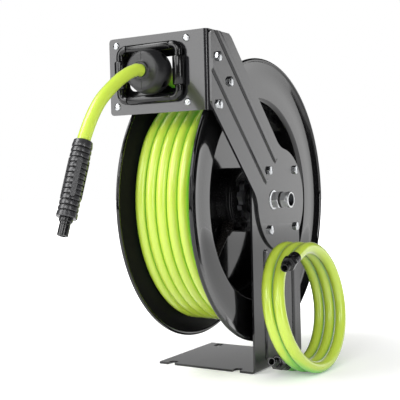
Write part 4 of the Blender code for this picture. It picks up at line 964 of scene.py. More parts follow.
@dataclass
class HoseGuide(SubAssembly):
    """The front bracket with its window, the moulded carrier and the four rollers.

    The window, the carrier and its opening and throat are (width, height, corner radius). The lying
    and the upright rollers are (radius, half length, distance from the middle).
    """

    x: float = -0.018
    z: float = 0.402
    front: float = -0.1651
    left: float = -0.084
    bottom: float = 0.3513
    top: float = 0.4510
    bend: float = 0.005
    flange: float = -0.108
    window: Point3 = (0.103, 0.072, 0.016)
    opening: Point3 = (0.094, 0.060, 0.010)
    throat: Point3 = (0.076, 0.039, 0.008)
    carrier: Point3 = (0.124, 0.095, 0.010)
    carrier_t: float = 0.0038
    elbow_bend: float = 0.009
    elbow_r: float = 0.0054
    web: float = 0.003
    pin_seat: float = 0.0065
    screws: Point2 = (0.054, 0.0396)
    screw: PanScrew = PanScrew(0.0046, 0.0026, 0.0052, 0.0021, 0.0071)
    roller_y: float = -0.170
    lying: Point3 = (0.0055, 0.0333, 0.0326)
    upright: Point3 = (0.008, 0.0182, 0.0447)

    def screw_places(self) -> list[Point2]:
        """The carrier's four screws, as (x, z)."""
        return [(self.x + sx * self.screws[0], self.z + sz * self.screws[1]) for sx, sz in CORNERS]

    def screw_holes(self) -> list[list[Point2]]:
        """Outlines of the holes for those screws."""
        return [arc(place, SCREW_HOLE_R, 0, 360 * (1 - 1 / 24), 24) for place in self.screw_places()]

    def build(self) -> None:
        """Make the bracket, the carrier, the rollers and the screws."""
        self.bracket()
        self.carrier_frame()
        self.rollers()
        for i, (x, z) in enumerate(self.screw_places()):
            place = at(x, self.front, z) @ FACE_FRONT @ spun(0.3 + 0.6 * i)
            self.bench.piece(f"carrier_screw_{i + 1}", self.screw.form().moved(place), ZINC_PLATE)

    def bracket(self) -> None:
        """Bend the front plate and cut its window and holes."""
        height, right = self.top - self.bottom, 0.3
        section = angle_sheet(self.left, self.front, self.bend, self.flange)
        middle = ((self.left + right) / 2, (self.top + self.bottom) / 2)
        face = Form.plate(rounded_box(middle, right - self.left, height, 0.005, 8), 0.2).moved(FACE_FRONT)
        plate = Form.plate(section, height).moved(at(z=self.bottom)).combined([face], "INTERSECT")
        plate = plate.combined(weld_nuts(GUIDE_BOLTS, 0.003), "UNION")
        deep = at(y=self.front + 0.01) @ FACE_FRONT
        outlines = [rounded_box((self.x, self.z), *self.window, 12), *self.screw_holes()]
        cutters = [Form.plate(outline, 0.02).moved(deep) for outline in outlines]
        cutters += [drill(POST_IN_X - 0.015, y, z, BOLT_HOLE_R, 0.03) for y, z in GUIDE_BOLTS]
        self.bench.piece("guide_bracket", plate.cut(*cutters), FRAME_ENAMEL, bevel=0.0005, weighted=True)

    def carrier_frame(self) -> None:
        """Mould the frame behind the window, with a funnel in it and an elbow in each corner."""
        front, centre = self.front + SHEET + GAP, (self.x, self.z)
        frame = Form.plate(rounded_box(centre, *self.carrier, 10), self.carrier_t, self.screw_holes())
        frame.moved(at(y=front + self.carrier_t) @ FACE_FRONT)
        funnel = Form.loft([(front - GAP, rounded_box(centre, *self.opening, 10)),
                            (front + self.carrier_t + GAP, rounded_box(centre, *self.throat, 10))])
        lugs = [lug for corner in ((1, 1), (-1, 1), (-1, -1), (1, -1)) for lug in self.elbow(*corner)]
        bores = []
        for side in (1, -1):
            lying, upright = (size[1] + 2 * GAP + self.pin_seat for size in (self.lying, self.upright))
            bores.append(drill(self.x - lying, self.roller_y, self.z + side * self.lying[2], PIN_R, lying * 2))
            pin = Form.cylinder(-upright, upright, PIN_R, 24)
            bores.append(pin.moved(at(self.x + side * self.upright[2], self.roller_y, self.z)))
        frame = frame.cut(funnel).combined(lugs, "UNION").cut(*bores)
        self.bench.piece("roller_carrier", frame, MOULDED_NYLON, bevel=0.0006, weighted=True)

    def elbow(self, sx: int, sz: int) -> tuple[Form, Form]:
        """Bend one round elbow between two rollers, with the web that holds it to the frame.

        Args:
            sx: 1 for the right side, -1 for the left.
            sz: 1 for the top, -1 for the bottom.

        Returns:
            The elbow and its web.
        """
        bend = self.elbow_bend
        start_x, end_z = self.lying[1] + 2 * GAP, self.upright[1] + 2 * GAP
        pivot = (self.upright[2] - bend, self.lying[2] - bend)
        rows = []
        for offset in (0.0, self.web, -self.web):
            turn = arc(pivot, bend + offset, 90, 0, 12)
            row = [(start_x, turn[0][1]), *turn, (turn[-1][0], end_z)]
            rows.append([(self.x + sx * x, self.z + sz * z) for x, z in row])
        axis, outer, inner = rows
        root = self.front + SHEET + GAP + self.carrier_t / 2
        web = Form.plate(outer + inner[::-1], root - self.roller_y).moved(at(y=root) @ FACE_FRONT)
        return Form.rod([(x, self.roller_y, z) for x, z in axis], self.elbow_r), web

    def rollers(self) -> None:
        """Turn two lying and two upright rollers, each on its pin."""
        spots = (("top", 0.0, self.lying[2], self.lying), ("bottom", 0.0, -self.lying[2], self.lying),
                 ("right", self.upright[2], 0.0, self.upright), ("left", -self.upright[2], 0.0, self.upright))
        for word, dx, dz, (r, half, _) in spots:
            edge = ((half - 0.0018, r), (half - 0.0006, r * 0.93), (half, r * 0.8), (half, PIN_R))
            profile = [(-h, s) for h, s in edge[::-1]] + list(edge)
            place = (self.x + dx, self.roller_y, self.z + dz)
            roller = Form.lathe(profile, 40).moved(along_x(*place) if dz else at(*place))
            self.bench.piece(f"{word}_roller", roller, MOULDED_NYLON, f"{word}_roller")
        self.bench.dress(ZINC_PLATE, *(f"{word}_roller_pin" for word, *_ in spots))


@dataclass
class Drum(SubAssembly):
    """The two pressed halves of the drum, and the lay of the hose on it."""

    sheet: float = 0.002
    floor_x: float = 0.00115
    hole_r: float = 0.0165
    cup_r: float = 0.138
    cup_corner: float = 0.008
    cup_edge: float = 0.0065
    ring_x: float = 0.050
    ring_r: float = 0.178
    bead_x: float = 0.0546
    bead_r: float = 0.0025
    rim_r: float = 0.197
    strands: int = 6
    pitch: float = 0.01624
    wind_r: float = 0.163
    step_start: float = math.radians(100)
    step_arc: float = math.radians(55)

    def middle(self) -> list[Point2]:
        """Draw the sheet's middle line.

        Returns:
            The line from the centre hole to the rim, in (x, radius).
        """
        c, e, x, r = self.cup_corner, self.cup_edge, self.ring_x, self.ring_r
        line = [(self.floor_x, self.hole_r), (self.floor_x, 0.060), (self.floor_x, 0.1)]
        line += arc((self.floor_x + c, self.cup_r - c), c, 180, 90, 9)
        line += arc((x - e, self.cup_r + e), e, -90, 0, 9)
        line += [(x, r - 0.016), (x + 0.0001, r - 0.008), (x + 0.0006, r), (x + 0.0019, r + 0.006)]
        bead = Vector((self.bead_x, self.rim_r - self.bead_r))
        return [*line, tuple(bead - (bead - Vector(line[-1])).normalized() * self.bead_r)]

    def profile(self, side: int) -> list[Point2]:
        """The closed section of one half, with its rolled rim.

        Args:
            side: 1 for the half next to the post, -1 for the other.

        Returns:
            The section as (x, radius) points.
        """
        chain = [Vector(p) for p in self.middle()]
        left, right = [], []
        for i, point in enumerate(chain):
            before = (point - chain[i - 1]).normalized() if i else None
            after = (chain[i + 1] - point).normalized() if i + 1 < len(chain) else None
            way = ((before or after) + (after or before)).normalized()
            normal = Vector((-way.y, way.x))
            reach = self.sheet / 2 / max(0.5, way.dot(before or after))
            left.append(tuple(point + normal * reach))
            right.append(tuple(point - normal * reach))
        way = (chain[-1] - chain[-2]).normalized()
        facing = math.degrees(math.atan2(way.y, way.x))
        bead = arc(tuple(chain[-1] + way * self.bead_r), self.bead_r, facing + 130, facing - 130, 14)
        return [(side * h, r) for h, r in left + bead + right[::-1]]

    def wound(self, angle: float) -> Point3:
        """A point of the outer layer, where each turn lies flat and then steps to the next.

        Args:
            angle: How far the hose has wound, in radians from +Y towards +Z.

        Returns:
            The point.
        """
        turn, within = divmod(angle - self.step_start, 2 * math.pi)
        step = (1 - math.cos(math.pi * within / self.step_arc)) / 2 if within < self.step_arc else 1
        y, z = polar(self.wind_r, angle)
        return ((self.strands - 1) / 2 - (turn + step - 1)) * self.pitch, y, AXLE_Z + z

    def winding(self) -> list[Point3]:
        """Read closely spaced points of the whole outer layer.

        Returns:
            The points, the last of them at the top, where the hose leaves.
        """
        begin = self.step_start + self.step_arc - math.radians(2)
        end = math.pi / 2 + 2 * math.pi * self.strands
        count = round((end - begin) / math.radians(4))
        return [self.wound(begin + (end - begin) * i / count) for i in range(count + 1)]

    def build(self) -> None:
        """Make both halves, dull where they face the hose, and finish the layers below."""
        for word, side in (("near", 1), ("far", -1)):
            half = Form.lathe(self.profile(side), 160).moved(along_x())
            if side > 0:
                half = half.cut(Form.cylinder(0.125, 0.15, 0.0063, 32).moved(AIR_PIPE))
            half.bm.normal_update()
            half.patched(lambda face, side=side: self.faces_hose(face, side))
            self.bench.piece(f"drum_half_{word}", half, DRUM_ENAMEL, "drum", patch=WORN_ENAMEL)
        self.bench.dress(LIME_HOSE, "hose_core")

    def faces_hose(self, face: bmesh.types.BMFace, side: int) -> bool:
        """Whether a face looks in at the hose from inside the rim.

        Args:
            face: A face of one half.
            side: 1 for the half next to the post, -1 for the other.

        Returns:
            True where the hose rubs it.
        """
        arm = face.calc_center_median() - Vector((0.0, 0.0, AXLE_Z))
        arm.x = 0.0
        inwards = arm.normalized() - Vector((side, 0.0, 0.0))
        return face.normal.dot(inwards) > 0 and arm.length < self.rim_r - 2 * self.bead_r


@dataclass
class Hub(SubAssembly):
    """What sits in the near dish: housing, cover, ratchet, bushing and air pipe."""

    radius: float = 0.046
    start: float = 0.00245
    face: float = 0.0247
    nose_r: float = 0.019
    nose: float = 0.040
    bore: float = 0.013
    groove: float = 0.0012
    cover_r: float = 0.045
    cover_t: float = 0.0023
    cover_dish: float = 0.0006
    screw_circle: float = 0.036
    screw: PanScrew = PanScrew(0.0037, 0.0024, 0.0042, 0.002, 0.0123)
    port_r: float = 0.0035
    pipe: Point2 = (0.0463, 0.1357)
    pipe_nut: float = 0.010

    def build(self) -> None:
        """Turn the housing and hang the rest on it."""
        r, f, low = self.radius, self.face, self.radius - self.groove
        housing = eased([(self.start, self.bore), (self.start, r, 0.0006), (f - 0.006, r),
                         (f - 0.0055, low, 0.0003), (f - 0.0045, low), (f - 0.004, r, 0.0003),
                         (f, r, 0.0012), (f, self.nose_r, 0.0004), (self.nose, self.nose_r, 0.0012),
                         (self.nose, self.bore)])
        port = Form.cylinder(0.010, 0.055, self.port_r, 24).moved(AIR_PIPE)
        self.bench.piece("hub_housing", Form.lathe(housing, 72).moved(along_x()).cut(port),
                         BLACK_PHOSPHATE, "drum")
        back, hole = f + GAP, self.nose_r + GAP
        front = back + self.cover_t
        dish = front - self.cover_dish
        cover = eased([(back, hole), (back, self.cover_r), (front, self.cover_r, 0.0006),
                       (front, self.cover_r - 0.004, 0.0004), (dish, self.cover_r - 0.005, 0.0004),
                       (dish, 0.0275, 0.0004), (front, 0.0265, 0.0004), (front, hole, 0.0004)])
        self.bench.piece("hub_cover", Form.lathe(cover, 72).moved(along_x()), BLACK_PHOSPHATE, "drum")
        for i, angle in enumerate((21, 141, 261)):
            y, z = polar(self.screw_circle, math.radians(angle))
            screw = self.screw.form().moved(along_x(front, y, AXLE_Z + z) @ spun(0.5 * i))
            self.bench.piece(f"hub_screw_{i + 1}", screw, BLACK_PHOSPHATE, "drum")
        self.bench.dress(PLAIN_STEEL, "ratchet_wheel")
        self.bench.dress(SINTERED_BRONZE, "hub_bushing")
        self.air_pipe()

    def air_pipe(self) -> None:
        """Turn the short pipe from the hub to the dish wall, with a hexagon collar at each end."""
        (inner, outer), nut, r = self.pipe, self.pipe_nut, self.port_r
        body = Form.lathe(eased([(inner, r), (inner, 0.006), (0.1384, 0.006, 0.0005), (0.1384, r)]), 32)
        rings = [Form.hexagon(0.016, nut, both=True).moved(at(z=z)) for z in (inner, outer - nut)]
        low, high = inner + nut, inner + nut + 0.006
        neck = Form.lathe(eased([(low, 0.003), (low, 0.0078, 0.0004), (high, 0.0078, 0.001),
                                 (high, 0.003)]), 32)
        whole = body.combined([*rings, neck], "UNION").cut(Form.cylinder(0.04, 0.15, r, 24))
        self.bench.piece("air_pipe", whole.moved(AIR_PIPE), BLACKED_BRASS, "drum", bevel=0.0002)


@dataclass
class SpringPack(SubAssembly):
    """The case with the spiral spring in the far dish."""

    radius: float = 0.086
    wall: float = 0.002
    back: float = -0.00245
    front: float = -0.03795
    bore: float = 0.013
    boss_r: float = 0.017
    boss_x: float = -0.044
    dish: float = 0.0009

    def build(self) -> None:
        """Make the case and its pressed cover, and finish what is inside."""
        r, inside, floor = self.radius, self.radius - self.wall, self.back - self.wall
        case = eased([(self.back, self.bore), (self.back, r, 0.002), (self.front, r, 0.0004),
                      (self.front, inside), (floor, inside, 0.001), (floor, self.bore)])
        inner = self.front - GAP
        face = inner - 0.002
        dish = face + self.dish
        cover = eased([(inner, self.bore), (inner, r, 0.0004), (face, r, 0.0008), (face, 0.076, 0.0008),
                       (dish, 0.074, 0.0008), (dish, 0.040, 0.0008), (face, 0.038, 0.0008),
                       (face, self.boss_r, 0.0008), (self.boss_x, self.boss_r - 0.0005, 0.001),
                       (self.boss_x, self.bore)])
        for node, profile in (("spring_case", case), ("spring_cover", cover)):
            self.bench.piece(node, Form.lathe(profile, 96).moved(along_x()), BLACK_PHOSPHATE, "drum")
        self.bench.dress(SINTERED_BRONZE, "cover_bushing")
        self.bench.dress(SPRING_STRIP, "power_spring", "pawl_spring")
        self.bench.dress(PLAIN_STEEL, "shaft_retainer", "axle_shaft", "pawl", "pawl_pin")


@dataclass
class AxleEnd(SubAssembly):
    """The washer, nut, seal and air inlet outside the arm."""

    washer_x: float = 0.0688
    washer: Point2 = (0.0135, 0.0015)
    nut_flats: float = 0.0218
    nut_t: float = 0.010
    seal: Point2 = (0.0112, 0.0027)
    swivel_end: float = 0.0125
    socket: float = 0.009
    crests: int = 9

    @staticmethod
    def ring(x: float, size: Point2, edges: Point2) -> Form:
        """A ring round the axle's thread, from x outwards.

        Args:
            x: Where it starts.
            size: Its radius and thickness.
            edges: How far its two outer edges are rounded.

        Returns:
            The ring.
        """
        (r, thick), (near, far) = size, edges
        return Form.lathe(eased([(x, AXLE_BORE), (x, r, near), (x + thick, r, far),
                                 (x + thick, AXLE_BORE)]), 48).moved(along_x())

    def build(self) -> None:
        """Stack the pieces outwards from the arm."""
        x = self.washer_x
        self.bench.piece("axle_washer", self.ring(x, self.washer, (0.0003, 0.0005)), ZINC_PLATE)
        x += self.washer[1] + GAP
        nut = Form.hexagon(self.nut_flats, self.nut_t, both=True).cut(Form.cylinder(-0.01, 0.05, AXLE_BORE, 48))
        self.bench.piece("axle_nut", nut.moved(along_x(x)), SATIN_ZINC, bevel=0.0003)
        x += self.nut_t + GAP
        self.bench.piece("swivel_seal", self.ring(x, self.seal, (0.001, 0.001)), SEAL_RUBBER_AND_RECESS_SHADE)
        self.swivel(x + self.seal[1] + GAP)

    def swivel(self, x: float) -> None:
        """Turn the inlet: a hexagon, a round collar and a threaded socket, dull and painted dark inside as
        shade.

        Args:
            x: Where it starts.
        """
        end = self.swivel_end
        collar = Form.lathe(eased([(0.0080, 0.0), (0.0080, 0.0112), (end, 0.0112, 0.0008), (end, 0.0)]), 48)
        neck = Form.cylinder(0.0070, 0.0090, 0.0098, 48)
        whole = Form.hexagon(0.0205, 0.0085, both=True).combined([collar, neck], "UNION")
        floor = end - self.socket
        thread = [(floor, 0.0)]
        for i in range(self.crests):
            crest = floor + (self.socket - 0.0008) * i / self.crests
            thread += [(crest, 0.0078), (crest + 0.00045, 0.0084)]
        thread += [(0.0118, 0.0082), (0.0128, 0.0090), (0.0128, 0.0)]
        bore = Form.lathe([(-0.001, 0.0), (-0.001, AXLE_BORE), (0.0024, AXLE_BORE), (0.0024, 0.0045),
                           (0.02, 0.0045), (0.02, 0.0)], 32)
        # The thread and the bore take the dark bore zinc as painted shade
        whole = whole.cut(Form.lathe(thread, 48), bore).patched_within(0.00885)
        self.bench.piece("inlet_swivel", whole.moved(along_x(x)), SATIN_ZINC, "inlet_swivel",
                         patch=BORE_ZINC_SHADE, bevel=0.00025)


@dataclass
class BallStop(SubAssembly):
    """The two rubber halves that stop the hose at the guide, and their screws."""

    x: float = -0.010
    y: float = -0.181
    z: float = 0.402
    radius: float = 0.0285
    face: float = 0.018
    tail: float = 0.024
    collar_r: float = 0.011
    collar: float = 0.0025
    screw_offset: float = 0.0165
    screw: PanScrew = PanScrew(0.0036, 0.0022, 0.0044, 0.002, 0.028)
    screw_x: float = 0.004
    recess_r: float = 0.0043

    def profile(self) -> list[Point2]:
        """The section of a half.

        Returns:
            The section from its tail to the collar round the hose.
        """
        bore, face, end = HOSE_R + GAP, self.face, self.face + self.collar
        ball = [(-self.tail, bore), (-self.tail, 0.0138)]
        ball += [(h * MM, math.sqrt(self.radius ** 2 - (h * MM) ** 2)) for h in range(-22, 13, 2)]
        ball += eased([(0.0125, 0.0256), (0.0165, 0.0243), (0.0178, 0.0225), (face, 0.0205)])
        return ball + [(face - 0.0002, 0.0150), (face, 0.0126), (face + 0.0006, 0.0114),
                       (face + self.collar * 0.7, self.collar_r - 0.0002), (end, self.collar_r - 0.0009),
                       (end, bore)]

    def in_recess_shade(self, face: bmesh.types.BMFace) -> bool:
        """Whether a face lies in one of the screws' recesses, which are painted dark as shade."""
        far = max(math.hypot(v.co.y - self.y, abs(v.co.z - self.z) - self.screw_offset) for v in face.verts)
        return far < self.recess_r + 0.00005

    def build(self) -> None:
        """Turn each half, drill it for the screws and set the screws in."""
        place = at(self.x, self.y, self.z) @ FACE_FRONT
        heights = [self.z + side * self.screw_offset for side in (1, -1)]
        for word, turn, shift in (("near", -90, GAP / 2), ("far", 90, -GAP / 2)):
            half = Form.lathe(self.profile(), 48, half_turn=True)
            half.moved(place @ at(x=shift) @ spun(math.radians(turn)))
            cutters = []
            for z in heights:
                cutters.append(drill(-0.0243, self.y, z, 0.0023, 0.030))
                if shift > 0:
                    cutters.append(drill(self.screw_x, self.y, z, self.recess_r, 0.03))
            # The recesses take the darker seal rubber as painted shade
            half = half.cut(*cutters).patched(self.in_recess_shade)
            self.bench.piece(f"ball_stop_{word}", half, BALL_RUBBER, patch=SEAL_RUBBER_AND_RECESS_SHADE, bevel=0.0004)
        for i, z in enumerate(heights):
            screw = self.screw.form().moved(along_x(self.screw_x, self.y, z))
            self.bench.piece(f"ball_stop_screw_{i + 1}", screw, ZINC_PLATE)


@dataclass
class FreeEnd(SubAssembly):
    """The hose through the guide, the free length, the grip and the end fitting."""

    drum: Drum
    outlet_x: float = -0.010
    outlet_z: float = 0.402
    face_y: float = -0.2018
    bend: Point2 = (-0.060, -0.157)
    route: tuple[Point2, ...] = ((-0.2268, 0.3957), (-0.2478, 0.3848), (-0.2758, 0.3650),
                                 (-0.2911, 0.3495), (-0.3033, 0.3325))
    top: Point2 = (-0.3142, 0.3125)
    foot: Point2 = (-0.3472, 0.2280)
    socket: float = 0.020
    rings: int = 13
    ring_r: float = 0.0116
    groove_r: float = 0.0102

    def ends(self) -> tuple[Vector, Vector, Vector]:
        """Top of the grip, its foot and the way down it."""
        top, foot = (Vector((self.outlet_x, *p)) for p in (self.top, self.foot))
        return top, foot, (foot - top).normalized()

    def build(self) -> None:
        """Lead the hose from the drum to its end fitting."""
        self.feed()
        ends = [self.grip(), self.fitting()]
        top, _, down = self.ends()
        route = [(self.outlet_x, self.face_y - HOSE_R, self.outlet_z)]
        route += [*((self.outlet_x, *p) for p in self.route), tuple(top - down * HOSE_R / 2)]
        points = [(self.outlet_x, self.face_y, self.outlet_z), *smooth_route(route),
                  tuple(top + down * self.socket)]
        hose = self.bench.piece("outlet_hose", hose_tube("outlet_hose_look", points), LIME_HOSE)

    def feed(self) -> None:
        """Lay the outer layer and, in one with it, the run through the guide and the ball stop."""
        points = self.drum.winding()
        slot_x, _, top_z = points[-1]
        leave, arrive = self.bend
        for t in (i / 28 for i in range(29)):
            ease = (1 - math.cos(math.pi * t)) / 2
            points.append((slot_x + (self.outlet_x - slot_x) * ease, leave + (arrive - leave) * t,
                           top_z + (self.outlet_z - top_z) * ease))
        points.append((self.outlet_x, self.face_y + GAP, self.outlet_z))
        self.bench.piece("wound_hose", hose_tube("wound_hose_look", points), LIME_HOSE,
                         nodes=("hose_winding", "hose_feed"))

    def grip(self) -> bpy.types.Object:
        """Mould the grip: rings all along, two grooves and a plain raised bar on each side.

        Returns:
            The grip.
        """
        top, foot, down = self.ends()
        length = (foot - top).length
        bore, floor = HOSE_R + GAP, self.socket + 2 * GAP
        start, end = 0.0045, length - 0.006
        pitch = (end - start) / self.rings
        profile = [(0.0, bore), (0.0, 0.0098), (0.0008, 0.0108)]
        for i in range(self.rings):
            x = start + pitch * i
            profile += [(x, 0.0113), (x + pitch * 0.15, self.ring_r), (x + pitch * 0.60, self.ring_r),
                        (x + pitch * 0.72, 0.0113), (x + pitch * 0.78, self.groove_r),
                        (x + pitch * 0.94, self.groove_r)]
        profile += [(end, 0.0117), (length - 0.001, 0.0120), (length, 0.0112), (length, 0.0055),
                    (floor, 0.0055), (floor, bore)]

        def on_side(shape: Form, facing: int, out: float) -> Form:
            """Stand a plate drawn along the grip on one of its four sides."""
            return shape.moved(spun(math.radians(45 + 90 * facing))
                               @ Matrix(((1, 0, 0, 0), (0, 0, 1, out), (0, 1, 0, 0), (0, 0, 0, 1))))

        cutters = []
        for facing in range(4):
            for side in (1, -1):
                edge = [(side * (0.0030 + 0.0030 * math.sin(math.pi * i / 12)),
                         length * (0.22 + 0.56 * i / 12)) for i in range(13)]
                slot = [*edge, (side * 0.0029, length * 0.78), (side * 0.0029, length * 0.22)]
                cutters.append(on_side(Form.plate(slot, 0.004), facing, 0.0094))
        bar = rounded_box((0.0, length * 0.50), 0.0058, length * 0.50, 0.0024, 5)
        bars = [on_side(Form.plate(bar, 0.0021), facing, 0.0097) for facing in range(4)]
        body = Form.lathe(profile, 72).cut(*cutters).combined(bars, "UNION")
        # Faces down in the grooves and slots take the groove finish, darker as painted shade
        body = body.patched_within(self.groove_r + 0.0002).moved(turn_to(down, top))
        return self.bench.piece("grip", body, GRIP_RUBBER, patch=GRIP_GROOVE_SHADE, bevel=0.0002, weighted=True)

    def fitting(self) -> bpy.types.Object:
        """Turn the black end fitting: a collar, a groove and a stub.

        Returns:
            The fitting.
        """
        _, foot, down = self.ends()
        stub = Form.lathe(eased([(-0.012, 0.0035), (-0.012, 0.0052), (GAP, 0.0052), (GAP, 0.0078, 0.0006),
                                 (0.0045, 0.0078, 0.0008), (0.0050, 0.0062), (0.0075, 0.0062),
                                 (0.0080, 0.0058), (0.0085, 0.0062), (0.0205, 0.0062, 0.0008),
                                 (0.0205, 0.0035)]), 48)
        return self.bench.piece("end_fitting", stub.moved(turn_to(down, foot)), BLACK_PHOSPHATE)


@dataclass
class LeadIn(SubAssembly):
    """The coiled lead-in hose that stands beside the post."""

    x: float = 0.136
    y: float = -0.0045
    radius: float = 0.0813
    lean: float = math.radians(9.2)
    yaw: float = math.radians(1.9)
    pitch: float = 0.0163
    start: float = math.radians(-20)
    reference: float = math.radians(-40)
    end: float = math.radians(893)
    floor: float = 0.0080
    straight: float = 0.0155
    top_way: Point3 = (0.072, -0.967, -0.244)
    foot_route: tuple[Point3, ...] = ((0.1063, -0.003, 0.0081), (0.1046, -0.012, 0.0080),
                                      (0.1022, -0.021, 0.0090), (0.1011, -0.034, 0.0128))
    fitting: float = 0.0405
    bore: float = 0.0042

    def point(self, angle: float) -> Point3:
        """A point of the leaning coil's centre line.

        Args:
            angle: How far the coil has turned, in radians from its top.

        Returns:
            The point.
        """
        x = self.x - self.pitch * (angle - self.reference) / (2 * math.pi)
        rise, reach = math.cos(angle), math.sin(angle)
        return (x - self.radius * math.sin(self.lean) * rise + self.radius * math.sin(self.yaw) * reach,
                self.y + self.radius * math.cos(self.yaw) * reach,
                self.radius * math.cos(self.lean) * (1 + rise) + self.floor)

    def build(self) -> None:
        """Lay the coil, run both ends out and put a fitting on each."""
        count = round((self.end - self.start) / math.radians(4))
        coil = [self.point(self.start + (self.end - self.start) * i / count) for i in range(count + 1)]
        way = Vector(self.top_way).normalized()
        first, last = Vector(coil[0]) + way * self.straight, Vector(self.foot_route[-1])
        foot = smooth_route([coil[-2], coil[-1], *self.foot_route])
        points = [tuple(first), tuple(Vector(coil[0]) + way * self.straight * 0.4), *coil[1:-1], *foot[1:]]
        hose = self.bench.piece("lead_in_hose", hose_tube("lead_in_hose_look", points), LIME_HOSE)
        hose.visible_glossy = False
        down = (last - Vector(self.foot_route[-2])).normalized()
        ends = [self.end_piece("top", first, way), self.end_piece("foot", last, down)]

    def end_piece(self, word: str, place: Vector, way: Vector) -> bpy.types.Object:
        """Make one fitting: a crimped ferrule, a hexagon and an open nose.

        Args:
            word: Which end it is on.
            place: Where the hose ends.
            way: The way the hose points there.

        Returns:
            The fitting.
        """
        n, bore, high, low = self.fitting, self.bore, 0.0082, 0.0078
        ferrule = [(0.0, bore), (0.0, 0.0080), (0.0008, high)]
        for crimp in (0.0030, 0.0090):
            ferrule += [(crimp, high), (crimp + 0.0006, low), (crimp + 0.0022, low), (crimp + 0.0028, high)]
        ferrule += [(n * 0.42, high), (n * 0.44, 0.0070), (n * 0.70, 0.0070), (n * 0.71, 0.0058),
                    (n * 0.84, 0.0058), (n * 0.86, 0.0054), (n * 0.88, 0.0058), (n - 0.0008, 0.0058),
                    (n, 0.0052), (n, bore)]
        nut = Form.hexagon(0.0175, n * 0.22, both=True).moved(at(z=n * 0.455))
        whole = Form.lathe(ferrule, 48).combined([nut], "UNION")
        whole = whole.cut(Form.cylinder(n * 0.3, n + 0.01, bore, 32)).moved(turn_to(way, place + way * GAP))
        return self.bench.piece(f"lead_in_fitting_{word}", whole, BLACK_PHOSPHATE, bevel=0.0002)


@dataclass(frozen=True)
class Panel:
    """A soft lamp: where it hangs, where it looks, its size, power and roll in degrees."""

    name: str
    place: Point3
    size: Point2
    power: float
    aim_z: float = 0.25
    roll: float = 0.0


